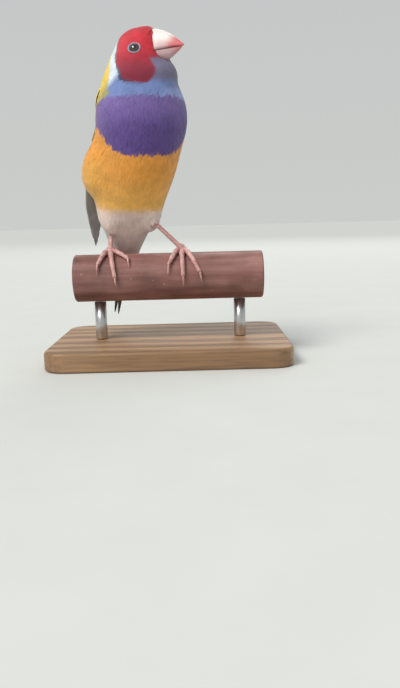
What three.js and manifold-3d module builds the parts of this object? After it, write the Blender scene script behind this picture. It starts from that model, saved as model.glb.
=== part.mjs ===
// A life-size gouldian finch cock gripping a short cut length of round perch, on a small display stand.
// Millimetres, +Z up. The origin is the middle of the stand's underside, and the bird's breast faces -Y.
import * as THREE from "three";
import { mergeVertices } from "three/addons/utils/BufferGeometryUtils.js";
import Module from "manifold-3d";

const wasm = await Module();
wasm.setup();

// Stand
const baseLength = 100;
const baseDepth = 76;
const baseThickness = 8;
const baseCorner = 9;
const baseBevel = 1.2;
const rodRadius = 2.5;
const rodSpacing = 60;
const perchRadius = 10;
const perchLength = 80;
const perchBevel = 0.8;
const perchMiddle = 12; // how far the perch's middle lies to the right of the bird
const perchClearOfBase = 16.5;
const perchHeight = baseThickness + perchClearOfBase + perchRadius;
const touch = 0.3; // gap between pieces that touch

// Pose of the bird, measured from the perch's axis
const trunkTurn = THREE.MathUtils.degToRad(18);
const neckTurn = THREE.MathUtils.degToRad(40);
const neckTurnFrom = 68;
const neckTurnTo = 83;
const neckBack = -1;
const lean = { below: -3.0, above: 2.6, from: 20, to: 66 }; // sideways shift, and the heights it changes between
const tailLean = { from: 15, slope: 0.083, softness: 6 };

// Level cuts of the trunk: height, how far back the middle lies, half width, depth before and behind the middle
const trunkCuts = [
  [2, 18.4, 4.2, 3.0, 3.2],
  [12, 13.8, 6.8, 5.6, 5.2],
  [21, 9.4, 10.4, 9.0, 7.8],
  [31, 5.4, 14.5, 12.8, 10.8],
  [42, 2.4, 16.6, 16.4, 13.6],
  [52, 0.6, 17.4, 18.0, 15.2],
  [62, -0.6, 18.7, 18.6, 16.0],
  [70, -1.0, 18.3, 17.6, 16.2],
  [78, -1.0, 15.8, 15.0, 16.0],
  [84, -1.0, 13.4, 12.8, 13.9],
  [88.5, -1.0, 11.2, 10.4, 11.2],
  [91.5, -1.0, 8.0, 7.5, 8.2],
  [95, -1.0, 3.0, 3.0, 3.0],
];
const trunkTop = 92; // the trunk's column stops here, inside the skull
// Rounded masses that are blended into the trunk: middle (left side positive), radii
const skull = { at: [0, -1.6, 90.5], size: [9.3, 10.4, 9.4], blend: 5 };
const forehead = { at: [0, -6.8, 92.8], size: [6.0, 4.8, 6.2], blend: 3 };
const throat = { at: [0, -12.0, 80.2], size: [6.0, 5.2, 5.6], blend: 5 };
const thighs = [
  { at: [8.2, 1.6, 26.5], size: [4.6, 5.4, 7.5], blend: 4 },
  { at: [-8.2, 3.2, 26.5], size: [4.6, 5.4, 7.5], blend: 4 },
];
const flanks = [
  { at: [-16.8, 1.4, 45.5], size: [6.0, 6.6, 9.5], blend: 6 },
];

// The line that the body's rings are strung on: how far back, height, forward tilt of the ring in degrees
const ringLine = [
  [19.0, 1.0, 28],
  [13.6, 12, 26],
  [9.2, 21, 22],
  [5.2, 31, 16],
  [2.2, 42, 10],
  [0.4, 52, 4],
  [-0.6, 62, 0],
  [-1.0, 70, 0],
  [-1.0, 78, 0],
  [-1.2, 83, 6],
  [-1.8, 87, 14],
  [-2.8, 90.5, 24],
  [-4.4, 93.8, 34],
  [-7.2, 97.4, 44],
  [-8.7, 98.75, 46],
];
const segments = 32; // corners in each ring of the body
const trunkEnd = 7; // the ring line's share where the neck begins, counted in its points
const neckEnd = 9;
const headEnd = 14;
const bodyReach = 40; // longest way from the ring line to the skin

// Head
const eyeAt = [8.5, -5.2, 89.6]; // near the skin; the eye is set into the skin's nearest place
const eyeRadius = 2.6;
const eyeSink = 1.75; // depth of the eye's middle below the skin
const lidRadius = 2.25;
const lidThickness = 0.5;
const billFrom = 5.0; // measured forward from the neck's axis
const billRoot = 8.3; // where the bill's solid begins, inside the head
const billTip = 21.6;
const billTop = 98.8;
const billDrop = 7.9;
const billHalfWidth = 5.1;
const gapeHeight = 88.9;
const gapeRise = 1.5;
const chinHeight = 84.8;
const gonysRise = 5.4;
const lowerBillShort = 0.7;
const nostrilAt = 9.6;
const nostrilRadius = 0.55;

// Wings: the back edge and the leading edge of the folded left wing, from shoulder to tip
const wingBackEdge = [
  [7.0, 13.0, 70.5],
  [3.4, 16.8, 60],
  [1.9, 19.4, 46],
  [2.1, 21.2, 30],
  [5.6, 22.8, 10],
];
const wingLeadingEdge = [
  [15.6, 4.0, 68.5],
  [18.2, 7.4, 56],
  [18.3, 10.6, 43],
  [16.8, 14.4, 28],
  [14.2, 18.8, 11],
];
const wingTuck = { left: 4.6, right: 0 }; // how far each tip is drawn in towards the middle
const wingClear = 0.45; // gap between the wing and the body
const armThickness = 1.5;
const vaneThickness = 0.6;
const quillRise = 0.15; // of a feather's middle over its edges

// Flight feathers and coverts of a wing, from the leading edge to the back edge: places are shares along and across
const primaryTips = [[0.78, 0.95], [0.88, 0.85], [0.95, 0.75], [0.91, 0.66], [0.87, 0.58], [0.82, 0.51], [0.78, 0.45]];
const wingRows = [
  { count: 7, from: [[0.16, 0.93], [0.24, 0.72]], tips: primaryTips, half: 1.8, height: 0.85, tilt: 0.3 },
  { count: 6, from: [[0.26, 0.76], [0.26, 0.3]], to: [[0.73, 0.63], [0.69, 0.27]], half: 1.9, height: 1.45, tilt: 0.26 },
  { count: 3, from: [[0.28, 0.28], [0.24, 0.14]], to: [[0.72, 0.23], [0.56, 0.15]], half: 2.8, height: 2.1, tilt: 0.14 },
  { count: 2, from: [[0.08, 0.93], [0.12, 0.8]], to: [[0.42, 0.97], [0.46, 0.84]], half: 2.2, height: 1.9, tilt: 0.2 },
  { count: 5, from: [[0.18, 0.74], [0.18, 0.18]], to: [[0.46, 0.72], [0.42, 0.18]], half: 2.5, height: 2.25, tilt: 0.22 },
  { count: 5, from: [[0.08, 0.8], [0.08, 0.2]], to: [[0.3, 0.86], [0.28, 0.18]], half: 2.7, height: 2.6, tilt: 0.2 },
];
// Share of a feather's length, and of its half width there
const vaneOutline = [[0, 0.8], [0.45, 1], [0.8, 0.88], [0.94, 0.56], [1, 0.14]];

// Tail
const tailRoot = [0, 17.4, 5.5];
const tailFeathers = [
  { length: 28, half: 1.7, spread: 0.9, back: 0.9 },
  { length: 19.5, half: 2.0, spread: 2.6, back: 0.55 },
  { length: 18, half: 2.0, spread: 4.6, back: 0.2 },
  { length: 16.5, half: 2.0, spread: 6.8, back: -0.15 },
  { length: 15, half: 1.9, spread: 9.0, back: -0.5 },
  { length: 13.5, half: 1.8, spread: 11.2, back: -0.85 },
];
const tailCoverts = [
  { length: 9.5, half: 2.0, aside: 0, back: 1.7, tilt: -4 },
  { length: 8, half: 2.0, aside: 2.2, back: 1.35, tilt: -4 },
  { length: 11, half: 2.1, aside: 0, back: -1.9, tilt: 4 },
  { length: 9.5, half: 2.0, aside: 2.4, back: -1.55, tilt: 4 },
];
const tailTilt = THREE.MathUtils.degToRad(25); // of the tail from upright

// Legs and feet, measured from the perch's axis, left leg first
const legs = [
  { side: "left", knee: [4.4, 2.6, 28.5], ankle: [6.0, 0.4, 23.4], foot: [17.6, -1.2, 12.0] },
  { side: "right", knee: [-11.2, 4.6, 29], ankle: [-12.0, 6.0, 23.4], foot: [-12.6, -0.8, 12.0] },
];
const shankRadius = 0.95;
const ankleRadius = 1.45;
const toeRadius = 1.05;
const clawRadius = 0.62;

// Colours
const paint = {
  red: 0xa3202b, purple: 0x4a3a72, orange: 0xd98a22, back: 0xb7b48a, bill: 0xf0dcd2,
  eye: 0x17110f, leg: 0xd99a94, tail: 0x8f8a94, wood: 0xb98a5a, perch: 0x8d5a50, steel: 0xa9abad,
};

const finish = (color, roughness = 0.75, metalness = 0) =>
  new THREE.MeshStandardMaterial({ color, roughness, metalness });

const lerp = THREE.MathUtils.lerp;
const smooth = (low, high, v) => THREE.MathUtils.smoothstep(v, low, high);
const between = (a, b, share) => a.map((v, k) => lerp(v, b[k], share));

// Smooth line through evenly counted rows: at(2.5) lies half way between the third row and the fourth.
function lineThrough(rows) {
  const last = rows.length - 1;
  return (t) => {
    const i = Math.min(Math.max(Math.floor(t), 0), last - 1);
    const f = t - i;
    return rows[0].map((_, k) => {
      const [a, b, c, d] = [i - 1, i, i + 1, i + 2].map((j) => rows[Math.min(Math.max(j, 0), last)][k]);
      return b + 0.5 * f * (c - a + f * (2 * a - 5 * b + 4 * c - d + f * (3 * (b - c) + d - a)));
    });
  };
}

// Trunk's cut at a height, by a cubic between the level cuts on either side.
function cutAt(z) {
  const last = trunkCuts.length - 1;
  let i = 0;
  while (i < last - 1 && z > trunkCuts[i + 1][0]) i++;
  const slope = (j, k) => {
    const a = trunkCuts[Math.max(j - 1, 0)];
    const b = trunkCuts[Math.min(j + 1, last)];
    return (b[k] - a[k]) / (b[0] - a[0]);
  };
  const [low, high] = [trunkCuts[i], trunkCuts[i + 1]];
  const span = high[0] - low[0];
  const f = THREE.MathUtils.clamp((z - low[0]) / span, 0, 1);
  return [1, 2, 3, 4].map((k) => {
    const [p, q] = [low[k], high[k]];
    const [m, n] = [slope(i, k) * span, slope(i + 1, k) * span];
    return (2 * p + m - 2 * q + n) * f ** 3 + (3 * q - 3 * p - 2 * m - n) * f ** 2 + m * f + p;
  });
}

const softMin = (a, b, blend) => {
  const near = Math.max(blend - Math.abs(a - b), 0) / blend;
  return Math.min(a, b) - (near * near * blend) / 4;
};

const toBall = (x, y, z, { at, size }) =>
  (Math.hypot((x - at[0]) / size[0], (y - at[1]) / size[1], (z - at[2]) / size[2]) - 1) * Math.min(...size);

// Rough distance outside the bird's body, negative inside, with the bird straight and facing -Y.
function gapToBody(x, y, z) {
  const [back, half, front, rear] = cutAt(z);
  const column = (Math.hypot(x / half, (y - back) / (y < back ? front : rear)) - 1) * half;
  let gap = Math.max(column, z - trunkTop);
  for (const mass of [skull, forehead, throat, ...thighs, ...flanks]) {
    gap = softMin(gap, toBall(x, y, z, mass), mass.blend);
  }
  return gap;
}

function awayFromBody([x, y, z]) {
  const step = 0.05;
  const n = [
    gapToBody(x + step, y, z) - gapToBody(x - step, y, z),
    gapToBody(x, y + step, z) - gapToBody(x, y - step, z),
    gapToBody(x, y, z + step) - gapToBody(x, y, z - step),
  ];
  const size = Math.hypot(...n);
  return { way: n.map((v) => v / size), slope: size / (2 * step) };
}

// Moves a point out to a distance from the body, if it is nearer.
function lifted(point, distance) {
  let p = point;
  for (let i = 0; i < 6; i++) {
    const short = distance - gapToBody(...p);
    if (short <= 0) break;
    const { way, slope } = awayFromBody(p);
    p = p.map((v, k) => v + (way[k] * short) / Math.max(slope, 0.3));
  }
  return p;
}

// The bird's stance: the neck turns, the whole turns, and the lower body leans to one side.
function posed([x, y, z]) {
  const neck = neckTurn * smooth(neckTurnFrom, neckTurnTo, z);
  const [cn, sn] = [Math.cos(neck), Math.sin(neck)];
  const [nx, ny] = [x * cn - (y - neckBack) * sn, x * sn + (y - neckBack) * cn + neckBack];
  const [ct, st] = [Math.cos(trunkTurn), Math.sin(trunkTurn)];
  const below = Math.max(tailLean.from - z, 0);
  const aside = lerp(lean.below, lean.above, smooth(lean.from, lean.to, z)) -
    tailLean.slope * (Math.hypot(below, tailLean.softness) - tailLean.softness);
  return [nx * ct - ny * st + aside, nx * st + ny * ct, z];
}

// One closed surface over a row of rings, with a fan over each end.
function closedOver(rings) {
  const n = rings[0].length;
  const middle = (ring) => [0, 1, 2].map((k) => ring.reduce((sum, p) => sum + p[k], 0) / n);
  const points = [...rings.flat(), middle(rings[0]), middle(rings.at(-1))];
  const faces = [];
  for (let i = 0; i < rings.length - 1; i++) {
    for (let j = 0; j < n; j++) {
      const [a, b] = [i * n + j, i * n + ((j + 1) % n)];
      faces.push(a, b, b + n, a, b + n, a + n);
    }
  }
  const end = (rings.length - 1) * n;
  for (let j = 0; j < n; j++) {
    const k = (j + 1) % n;
    faces.push(points.length - 2, k, j, points.length - 1, end + j, end + k);
  }
  return facingOut(points, faces);
}

// Geometry of points and faces, turned round where its faces point inwards.
function facingOut(points, faces) {
  const v = points.map((p) => new THREE.Vector3(...p));
  let volume = 0;
  for (let i = 0; i < faces.length; i += 3) {
    volume += v[faces[i]].dot(v[faces[i + 1]].clone().cross(v[faces[i + 2]]));
  }
  if (volume < 0) faces.reverse();
  return new THREE.BufferGeometry()
    .setAttribute("position", new THREE.Float32BufferAttribute(points.flat(), 3))
    .setIndex(faces);
}

function solidOf(geometry) {
  const bare = geometry.clone();
  bare.deleteAttribute("normal");
  bare.deleteAttribute("uv");
  const merged = mergeVertices(bare, 1e-4);
  return new wasm.Manifold(
    new wasm.Mesh({
      numProp: 3,
      vertProperties: new Float32Array(merged.attributes.position.array),
      triVerts: new Uint32Array(merged.index.array),
    }),
  );
}

// Geometry of a solid's largest closed surface.
function geometryOf(solid) {
  const largest = solid.decompose().sort((a, b) => b.volume() - a.volume())[0];
  const mesh = largest.getMesh();
  const points = [];
  for (let i = 0; i < mesh.numVert; i++) {
    points.push(...mesh.vertProperties.subarray(i * mesh.numProp, i * mesh.numProp + 3));
  }
  return new THREE.BufferGeometry()
    .setAttribute("position", new THREE.Float32BufferAttribute(points, 3))
    .setIndex([...mesh.triVerts]);
}

const joined = (solids) => solids.reduce((all, next) => all.add(next));

// Ring of the body at a place on the ring line, swollen by a distance.
const ringPlace = lineThrough(ringLine);
function bodyRing(t, swell = 0) {
  const [back, height, tilt] = ringPlace(t);
  const angle = THREE.MathUtils.degToRad(tilt);
  return Array.from({ length: segments }, (_, j) => {
    const round = (2 * Math.PI * j) / segments;
    const ahead = Math.cos(round);
    const way = [Math.sin(round), -ahead * Math.cos(angle), -ahead * Math.sin(angle)];
    let [inside, outside] = [0, bodyReach];
    for (let i = 0; i < 26; i++) {
      const reach = (inside + outside) / 2;
      const gap = gapToBody(way[0] * reach, back + way[1] * reach, height + way[2] * reach);
      if (gap < swell) inside = reach;
      else outside = reach;
    }
    return posed([way[0] * inside, back + way[1] * inside, height + way[2] * inside]);
  });
}

function bodyLength(from, to, count, swell) {
  return closedOver(Array.from({ length: count + 1 }, (_, i) => bodyRing(lerp(from, to, i / count), swell)));
}

// The point of the skin nearest to a point.
function toSkin(point) {
  let p = point;
  for (let i = 0; i < 8; i++) {
    const { way, slope } = awayFromBody(p);
    const gap = gapToBody(...p) / slope;
    p = p.map((v, k) => v - way[k] * gap);
  }
  return p;
}

const bird = new THREE.Group();
bird.position.z = perchHeight;
const part = new THREE.Group();
part.add(bird);

function addNode(name, geometry, color, group = bird) {
  const mesh = new THREE.Mesh(geometry, finish(color));
  mesh.name = name;
  group.add(mesh);
  return mesh;
}

// A ball around a point of the straight bird, placed where the pose takes it.
function ballAt(place, radius, wide = 16, high = 12) {
  const ball = new THREE.SphereGeometry(radius, wide, high);
  ball.rotateX(Math.PI / 2);
  ball.translate(...posed(place));
  return ball;
}

// Outline of the bill at a distance forward of the neck's axis.
function billAt(ahead) {
  const along = THREE.MathUtils.clamp((ahead - billFrom) / (billTip - billFrom), 0, 1);
  const lowerAlong = THREE.MathUtils.clamp((ahead - billFrom) / (billTip - lowerBillShort - billFrom), 0, 1);
  return {
    half: billHalfWidth * (1 - along ** 1.55) + 0.25,
    top: billTop - billDrop * along ** 1.9 + 0.12,
    gape: gapeHeight + gapeRise * along ** 0.8,
    bottom: chinHeight + gonysRise * lowerAlong ** 2.2 - 0.12,
    lowerHalf: (billHalfWidth - 0.35) * (1 - lowerAlong ** 1.45) + 0.2,
  };
}

function billSection(ahead, upper, swell) {
  const { half, top, gape, bottom, lowerHalf } = billAt(ahead);
  const [wide, edge, peak] = upper
    ? [half, gape + touch / 2, top]
    : [lowerHalf, gape - touch / 2, bottom];
  const arc = 10;
  const flat = 3;
  const ring = [];
  for (let i = 0; i <= arc; i++) {
    const round = (Math.PI * i) / arc;
    ring.push([
      (wide + swell) * Math.cos(round),
      edge + (peak - edge + (upper ? swell : -swell)) * Math.sin(round) ** 0.85,
    ]);
  }
  for (let i = 1; i < flat; i++) {
    ring.push([(wide + swell) * lerp(-1, 1, i / flat), edge + (upper ? -swell : swell)]);
  }
  return ring.map(([x, z]) => posed([x, neckBack - ahead, z]));
}

function bill(upper, swell = 0, from = billRoot) {
  const steps = 9;
  const end = upper ? billTip : billTip - lowerBillShort;
  return closedOver(
    Array.from({ length: steps + 1 }, (_, i) => billSection(lerp(from, end + swell, i / steps), upper, swell)),
  );
}

function eyePlace(side) {
  const onSkin = toSkin([eyeAt[0] * side, eyeAt[1], eyeAt[2]]);
  const { way } = awayFromBody(onSkin);
  return { onSkin, way, middle: onSkin.map((v, k) => v - way[k] * eyeSink) };
}

function lidRing(side) {
  const { onSkin, way } = eyePlace(side);
  const out = new THREE.Vector3(...posed(onSkin.map((v, k) => v + way[k]))).sub(new THREE.Vector3(...posed(onSkin)));
  const ring = new THREE.TorusGeometry(lidRadius, lidThickness, 6, 18);
  ring.applyQuaternion(new THREE.Quaternion().setFromUnitVectors(new THREE.Vector3(0, 0, 1), out.normalize()));
  ring.translate(...posed(onSkin.map((v, k) => v - way[k] * 0.2)));
  return ring;
}

// Trunk, neck and head
const trunkSolid = solidOf(bodyLength(0.15, trunkEnd, 22, 0));
addNode("neck", bodyLength(trunkEnd + touch / 8, neckEnd, 7, 0), paint.purple);

const eyes = [1, -1].map((side) => ballAt(eyePlace(side).middle, eyeRadius));
const headPieces = [bodyLength(neckEnd + touch / 5, headEnd, 16, 0), lidRing(1), lidRing(-1)].map(solidOf);
const headCuts = [
  ...[1, -1].map((side) => ballAt(eyePlace(side).middle, eyeRadius + touch)),
  bill(true, touch, billRoot - 0.4),
  bill(false, touch, billRoot - 0.4),
].map(solidOf);
addNode("head", geometryOf(joined(headPieces).subtract(joined(headCuts))), paint.red);
addNode("eye_left", eyes[0], paint.eye);
addNode("eye_right", eyes[1], paint.eye);

const nostrils = [1, -1].map((side) => {
  const { half, top, gape } = billAt(nostrilAt);
  return solidOf(ballAt([side * half * 0.62, neckBack - nostrilAt, lerp(gape, top, 0.72)], nostrilRadius, 10, 8));
});
addNode("bill_upper", geometryOf(solidOf(bill(true)).subtract(joined(nostrils))), paint.bill);
addNode("bill_lower", bill(false), paint.bill);

// A folded wing is built on a sheet over the body's side: along from shoulder to tip, across from back edge to front.
const backEdge = lineThrough(wingBackEdge);
const leadingEdge = lineThrough(wingLeadingEdge);
function onWing(side, along, across) {
  const t = along * (wingBackEdge.length - 1);
  const [a, b] = [backEdge(t), leadingEdge(t)];
  const p = a.map((v, k) => lerp(v, b[k], across));
  const tuck = (side > 0 ? wingTuck.left : wingTuck.right) * along * lerp(0.35, 1, across);
  return lifted([(p[0] - tuck) * side, p[1], p[2]], wingClear);
}

function offWing(side, along, across, height) {
  const step = 0.02;
  const at = new THREE.Vector3(...onWing(side, along, across));
  const down = new THREE.Vector3(...onWing(side, along + step, across)).sub(
    new THREE.Vector3(...onWing(side, along - step, across)),
  );
  const over = new THREE.Vector3(...onWing(side, along, across + step)).sub(
    new THREE.Vector3(...onWing(side, along, across - step)),
  );
  const out = over.cross(down).normalize().multiplyScalar(side);
  return at.addScaledVector(out, height).toArray();
}

// A closed plate between two grids of points that lie over each other.
function plate(under, over) {
  const rows = under.length;
  const cols = under[0].length;
  const points = [...under.flat(), ...over.flat()];
  const at = (i, j, top) => (top ? rows * cols : 0) + i * cols + j;
  const faces = [];
  const quad = (a, b, c, d) => faces.push(a, b, c, a, c, d);
  for (let i = 0; i < rows - 1; i++) {
    for (let j = 0; j < cols - 1; j++) {
      quad(at(i, j, 1), at(i, j + 1, 1), at(i + 1, j + 1, 1), at(i + 1, j, 1));
      faces.push(at(i, j), at(i + 1, j + 1), at(i, j + 1), at(i, j), at(i + 1, j), at(i + 1, j + 1));
    }
  }
  for (let j = 0; j < cols - 1; j++) {
    quad(at(0, j), at(0, j + 1), at(0, j + 1, 1), at(0, j, 1));
    quad(at(rows - 1, j, 1), at(rows - 1, j + 1, 1), at(rows - 1, j + 1), at(rows - 1, j));
  }
  for (let i = 0; i < rows - 1; i++) {
    quad(at(i, 0, 1), at(i + 1, 0, 1), at(i + 1, 0), at(i, 0));
    quad(at(i, cols - 1), at(i + 1, cols - 1), at(i + 1, cols - 1, 1), at(i, cols - 1, 1));
  }
  return facingOut(points, faces);
}

// The arm under the coverts: one plate over the first half of the wing.
function wingArm(side) {
  const grid = (top) =>
    Array.from({ length: 8 }, (_, i) => {
      const along = lerp(0.03, 0.5, i / 7);
      const rounded = smooth(0, 0.22, along);
      return Array.from({ length: 7 }, (_, j) => {
        const across = lerp(0.5, lerp(0.12, 0.9, j / 6), lerp(0.6, 1, rounded));
        const edge = 1 - (2 * (j / 6) - 1) ** 4;
        const thick = lerp(0.7, armThickness + 1.1 * (1 - smooth(0.1, 0.45, along)), edge) * lerp(0.5, 1, rounded);
        return posed(offWing(side, along, across, top ? thick : 0));
      });
    });
  return plate(grid(false), grid(true));
}

// One feather: a thin plate that narrows to its tip, with a quill's ridge where it has a middle column.
// place gives a point by its share of the length, its share of the half width and its height.
function feather(place, across = [-1, 0, 1]) {
  const grid = (top) =>
    vaneOutline.map(([share, wide]) =>
      across.map((aside) => place(share, aside * wide, (aside ? 0 : quillRise) + (top ? vaneThickness : 0))),
    );
  return plate(grid(false), grid(true));
}

function wingFeather(side, from, to, { half, height, tilt }) {
  return feather((share, aside, rise) => {
    const [along, across] = between(from, to, share);
    const t = along * (wingBackEdge.length - 1);
    const [a, b] = [backEdge(t), leadingEdge(t)];
    const width = Math.hypot(a[0] - b[0], a[1] - b[1], a[2] - b[2]);
    const over = (aside * half) / width;
    return posed(offWing(side, along, across + over, height - 0.3 + tilt * aside * half + rise));
  }, [-1, 1]);
}

function wing(side) {
  const feathers = wingRows.flatMap((row) =>
    Array.from({ length: row.count }, (_, i) => {
      const share = i / (row.count - 1);
      const tip = row.tips ? row.tips[i] : between(...row.to, share);
      return wingFeather(side, between(...row.from, share), tip, row);
    }),
  );
  return joined([wingArm(side), ...feathers].map(solidOf));
}

// Tail: graduated feathers under a long middle pair, with coverts above and below their roots
function offTail(down, over, back) {
  const [x, y, z] = tailRoot;
  return [
    x + over,
    y + down * Math.sin(tailTilt) + back * Math.cos(tailTilt),
    z - down * Math.cos(tailTilt) + back * Math.sin(tailTilt),
  ];
}

function tailFeather(side, { length, half, spread, back }) {
  const angle = THREE.MathUtils.degToRad(spread);
  return feather((share, aside, rise) => {
    const down = share * length;
    const over = side * down * Math.sin(angle) + side * 0.5 + aside * half * (half < 1.9 ? 1.1 - 0.45 * share : 1);
    return posed(offTail(down * Math.cos(angle), over, back + rise));
  }, spread < 3 ? [-1, 0, 1] : [-1, 1]);
}

function tailCovert(side, { length, half, aside: middle, back, tilt }) {
  const angle = THREE.MathUtils.degToRad(tilt);
  return feather((share, aside, rise) => {
    const down = share * length;
    const over = side * (middle + (share * middle) / 4) + aside * half;
    return posed(offTail(down, over, back + Math.sin(angle) * down + rise));
  });
}

function tailCore() {
  const rows = [[-1, 2.6, 1.6], [3, 3.2, 1.7], [6, 3.0, 1.2]];
  const grid = (top) =>
    rows.map(([down, half, thick]) =>
      [-1, 0, 1].map((share) =>
        posed(offTail(down, half * share, (top ? 1 : -1) * thick * (1 - 0.4 * share * share) + 0.2)),
      ),
    );
  return plate(grid(false), grid(true));
}

const tailPieces = [
  tailCore(),
  ...tailFeathers.flatMap((row) => [tailFeather(1, row), tailFeather(-1, { ...row, length: row.length - 1.2 })]),
  ...tailCoverts.flatMap((row) => (row.aside ? [tailCovert(1, row), tailCovert(-1, row)] : [tailCovert(1, row)])),
];
addNode("wing_left", geometryOf(wing(1)), paint.back);
addNode("wing_right", geometryOf(wing(-1)), paint.back);
const tail = joined(tailPieces.map(solidOf));

// Legs: a short feathered drum, the ankle and the bare shank down to the foot
function tube(points, radii, sides) {
  const line = points.map((p) => new THREE.Vector3(...p));
  const side = new THREE.Vector3(1, 0, 0);
  return closedOver(
    line.map((p, i) => {
      const way = line[Math.min(i + 1, line.length - 1)].clone().sub(line[Math.max(i - 1, 0)]).normalize();
      const u = side.clone().addScaledVector(way, -side.dot(way)).normalize();
      const v = way.clone().cross(u);
      return Array.from({ length: sides }, (_, j) => {
        const round = (2 * Math.PI * j) / sides;
        return p
          .clone()
          .addScaledVector(u, radii[i] * Math.cos(round))
          .addScaledVector(v, radii[i] * Math.sin(round))
          .toArray();
      });
    }),
  );
}

const trunkRoom = solidOf(bodyLength(0.1, trunkEnd, 24, touch));
const perchRoom = new THREE.CylinderGeometry(perchRadius + touch, perchRadius + touch, 2 * perchLength, 64);
perchRoom.rotateZ(Math.PI / 2);
const perchHole = solidOf(perchRoom);

// Toes: how far along the perch each ends, and how far round the perch it reaches, front toes positive
const toePlan = {
  left: [
    { name: "outer", aside: 6.6, round: 78, start: 1.0 },
    { name: "middle", aside: 0.6, round: 86, start: 0.1 },
    { name: "inner", aside: -4.2, round: 58, start: -0.9 },
    { name: "hind", aside: -0.8, round: -66, start: 0 },
  ],
  right: [
    { name: "outer", aside: -3.6, round: 56, start: -0.9 },
    { name: "middle", aside: 2.6, round: 86, start: 0 },
    { name: "inner", aside: 6.8, round: 40, start: 0.9 },
    { name: "hind", aside: 0.6, round: -66, start: 0 },
  ],
};
const clawRound = 26; // degrees round the perch that a claw takes

function aroundPerch(x, degrees, out) {
  const round = THREE.MathUtils.degToRad(degrees);
  return [x, -Math.sin(round) * out, Math.cos(round) * out];
}

function toe(foot, { aside, round, start }) {
  const steps = 7;
  const points = [];
  const radii = [];
  for (let i = 0; i <= steps; i++) {
    const share = i / steps;
    const knuckle = 1 + 0.1 * Math.cos(share * 6 * Math.PI);
    const radius = toeRadius * lerp(1.08, 0.74, share) * knuckle;
    radii.push(radius);
    const x = foot[0] + start + aside * share ** 1.1;
    points.push(aroundPerch(x, lerp(2, round, share), perchRadius + touch + radius + 0.05));
  }
  return tube(points, radii, 8);
}

function claw(foot, { aside, round, start }) {
  const steps = 4;
  const way = Math.sign(round);
  const points = [];
  const radii = [];
  for (let i = 0; i <= steps; i++) {
    const share = i / steps;
    const x = foot[0] + start + aside * (1 + 0.12 * share);
    const hump = perchRadius + touch + 0.85 + 0.55 * Math.sin(Math.PI * share) - 0.55 * share;
    points.push(aroundPerch(x, round - way * 3 + way * clawRound * share, hump));
    radii.push(lerp(clawRadius, 0.12, share));
  }
  return tube(points, radii, 7);
}

function foot({ side, foot: place }) {
  const plan = toePlan[side];
  const pad = new THREE.SphereGeometry(1.7, 12, 8);
  pad.translate(place[0], place[1] + 0.9, perchRadius + touch + 1.75);
  const pieces = [pad, ...plan.flatMap((row) => [toe(place, row), claw(place, row)])];
  return joined(pieces.map(solidOf)).subtract(perchHole);
}

const shanks = legs.map(({ knee, ankle, foot: end }) => {
  const points = [knee, between(knee, ankle, 0.6), ankle, between(ankle, end, 0.14), between(ankle, end, 0.5),
    between(ankle, end, 0.84), end];
  const radii = [3.0, 2.1, ankleRadius, shankRadius * 1.05, shankRadius, shankRadius * 1.05, shankRadius * 1.3];
  return tube(points, radii, 10);
});
legs.forEach((leg, i) => {
  const footSolid = foot(leg);
  const footRoom = new THREE.SphereGeometry(1.7 + touch, 16, 12);
  footRoom.translate(leg.foot[0], leg.foot[1] + 0.9, perchRadius + touch + 1.75);
  const bare = solidOf(shanks[i]).subtract(trunkRoom).subtract(perchHole);
  addNode("leg_" + leg.side, geometryOf(bare.subtract(solidOf(footRoom)).subtract(footSolid)), paint.leg);
  addNode("foot_" + leg.side, geometryOf(footSolid), paint.leg);
});

addNode("torso", geometryOf(trunkSolid), paint.orange);
addNode("tail", geometryOf(tail.subtract(trunkRoom)), paint.tail);

// Stand: a bevelled base, two rods and the perch
function standBase() {
  const [w, d, r] = [baseLength / 2 - baseBevel, baseDepth / 2 - baseBevel, baseCorner];
  const outline = new THREE.Shape();
  outline.moveTo(-w + r, -d);
  outline.lineTo(w - r, -d).absarc(w - r, -d + r, r, -Math.PI / 2, 0);
  outline.lineTo(w, d - r).absarc(w - r, d - r, r, 0, Math.PI / 2);
  outline.lineTo(-w + r, d).absarc(-w + r, d - r, r, Math.PI / 2, Math.PI);
  outline.lineTo(-w, -d + r).absarc(-w + r, -d + r, r, Math.PI, 1.5 * Math.PI);
  const block = new THREE.ExtrudeGeometry(outline, {
    depth: baseThickness - 2 * baseBevel, bevelThickness: baseBevel, bevelSize: baseBevel, bevelSegments: 2,
    curveSegments: 6,
  });
  block.translate(0, 0, baseBevel);
  return block;
}
addNode("stand_base", standBase(), paint.wood, part);

const perchProfile = [
  [0, -perchLength / 2],
  [perchRadius - perchBevel, -perchLength / 2],
  [perchRadius, perchBevel - perchLength / 2],
  [perchRadius, perchLength / 2 - perchBevel],
  [perchRadius - perchBevel, perchLength / 2],
  [0, perchLength / 2],
].map(([radius, along]) => new THREE.Vector2(radius, along));
const perchAlong = new THREE.LatheGeometry(perchProfile, 48);
perchAlong.rotateZ(Math.PI / 2);
perchAlong.translate(perchMiddle, 0, 0);
addNode("stand_perch", perchAlong, paint.perch);

const birdShift = [-perchMiddle, -4];
bird.position.x = birdShift[0];
bird.position.y = birdShift[1];
const rods = { left: -rodSpacing / 2, right: rodSpacing / 2 };
for (const [side, x] of Object.entries(rods)) {
  const rod = new THREE.CylinderGeometry(rodRadius, rodRadius, perchHeight - baseThickness - touch, 24);
  rod.rotateX(Math.PI / 2);
  rod.translate(perchMiddle + x, 0, (touch + baseThickness - perchHeight) / 2);
  addNode("stand_rod_" + side, geometryOf(solidOf(rod).subtract(perchHole)), paint.steel);
}

export default part;
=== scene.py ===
# A gouldian finch cock gripping a cut length of round perch, on a small display stand.
# Shapes are in millimetres, with the bird straight and facing -Y, and are then posed and turned into metres.
import math
import bpy
import numpy as np
from mathutils import Matrix, Vector


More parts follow.
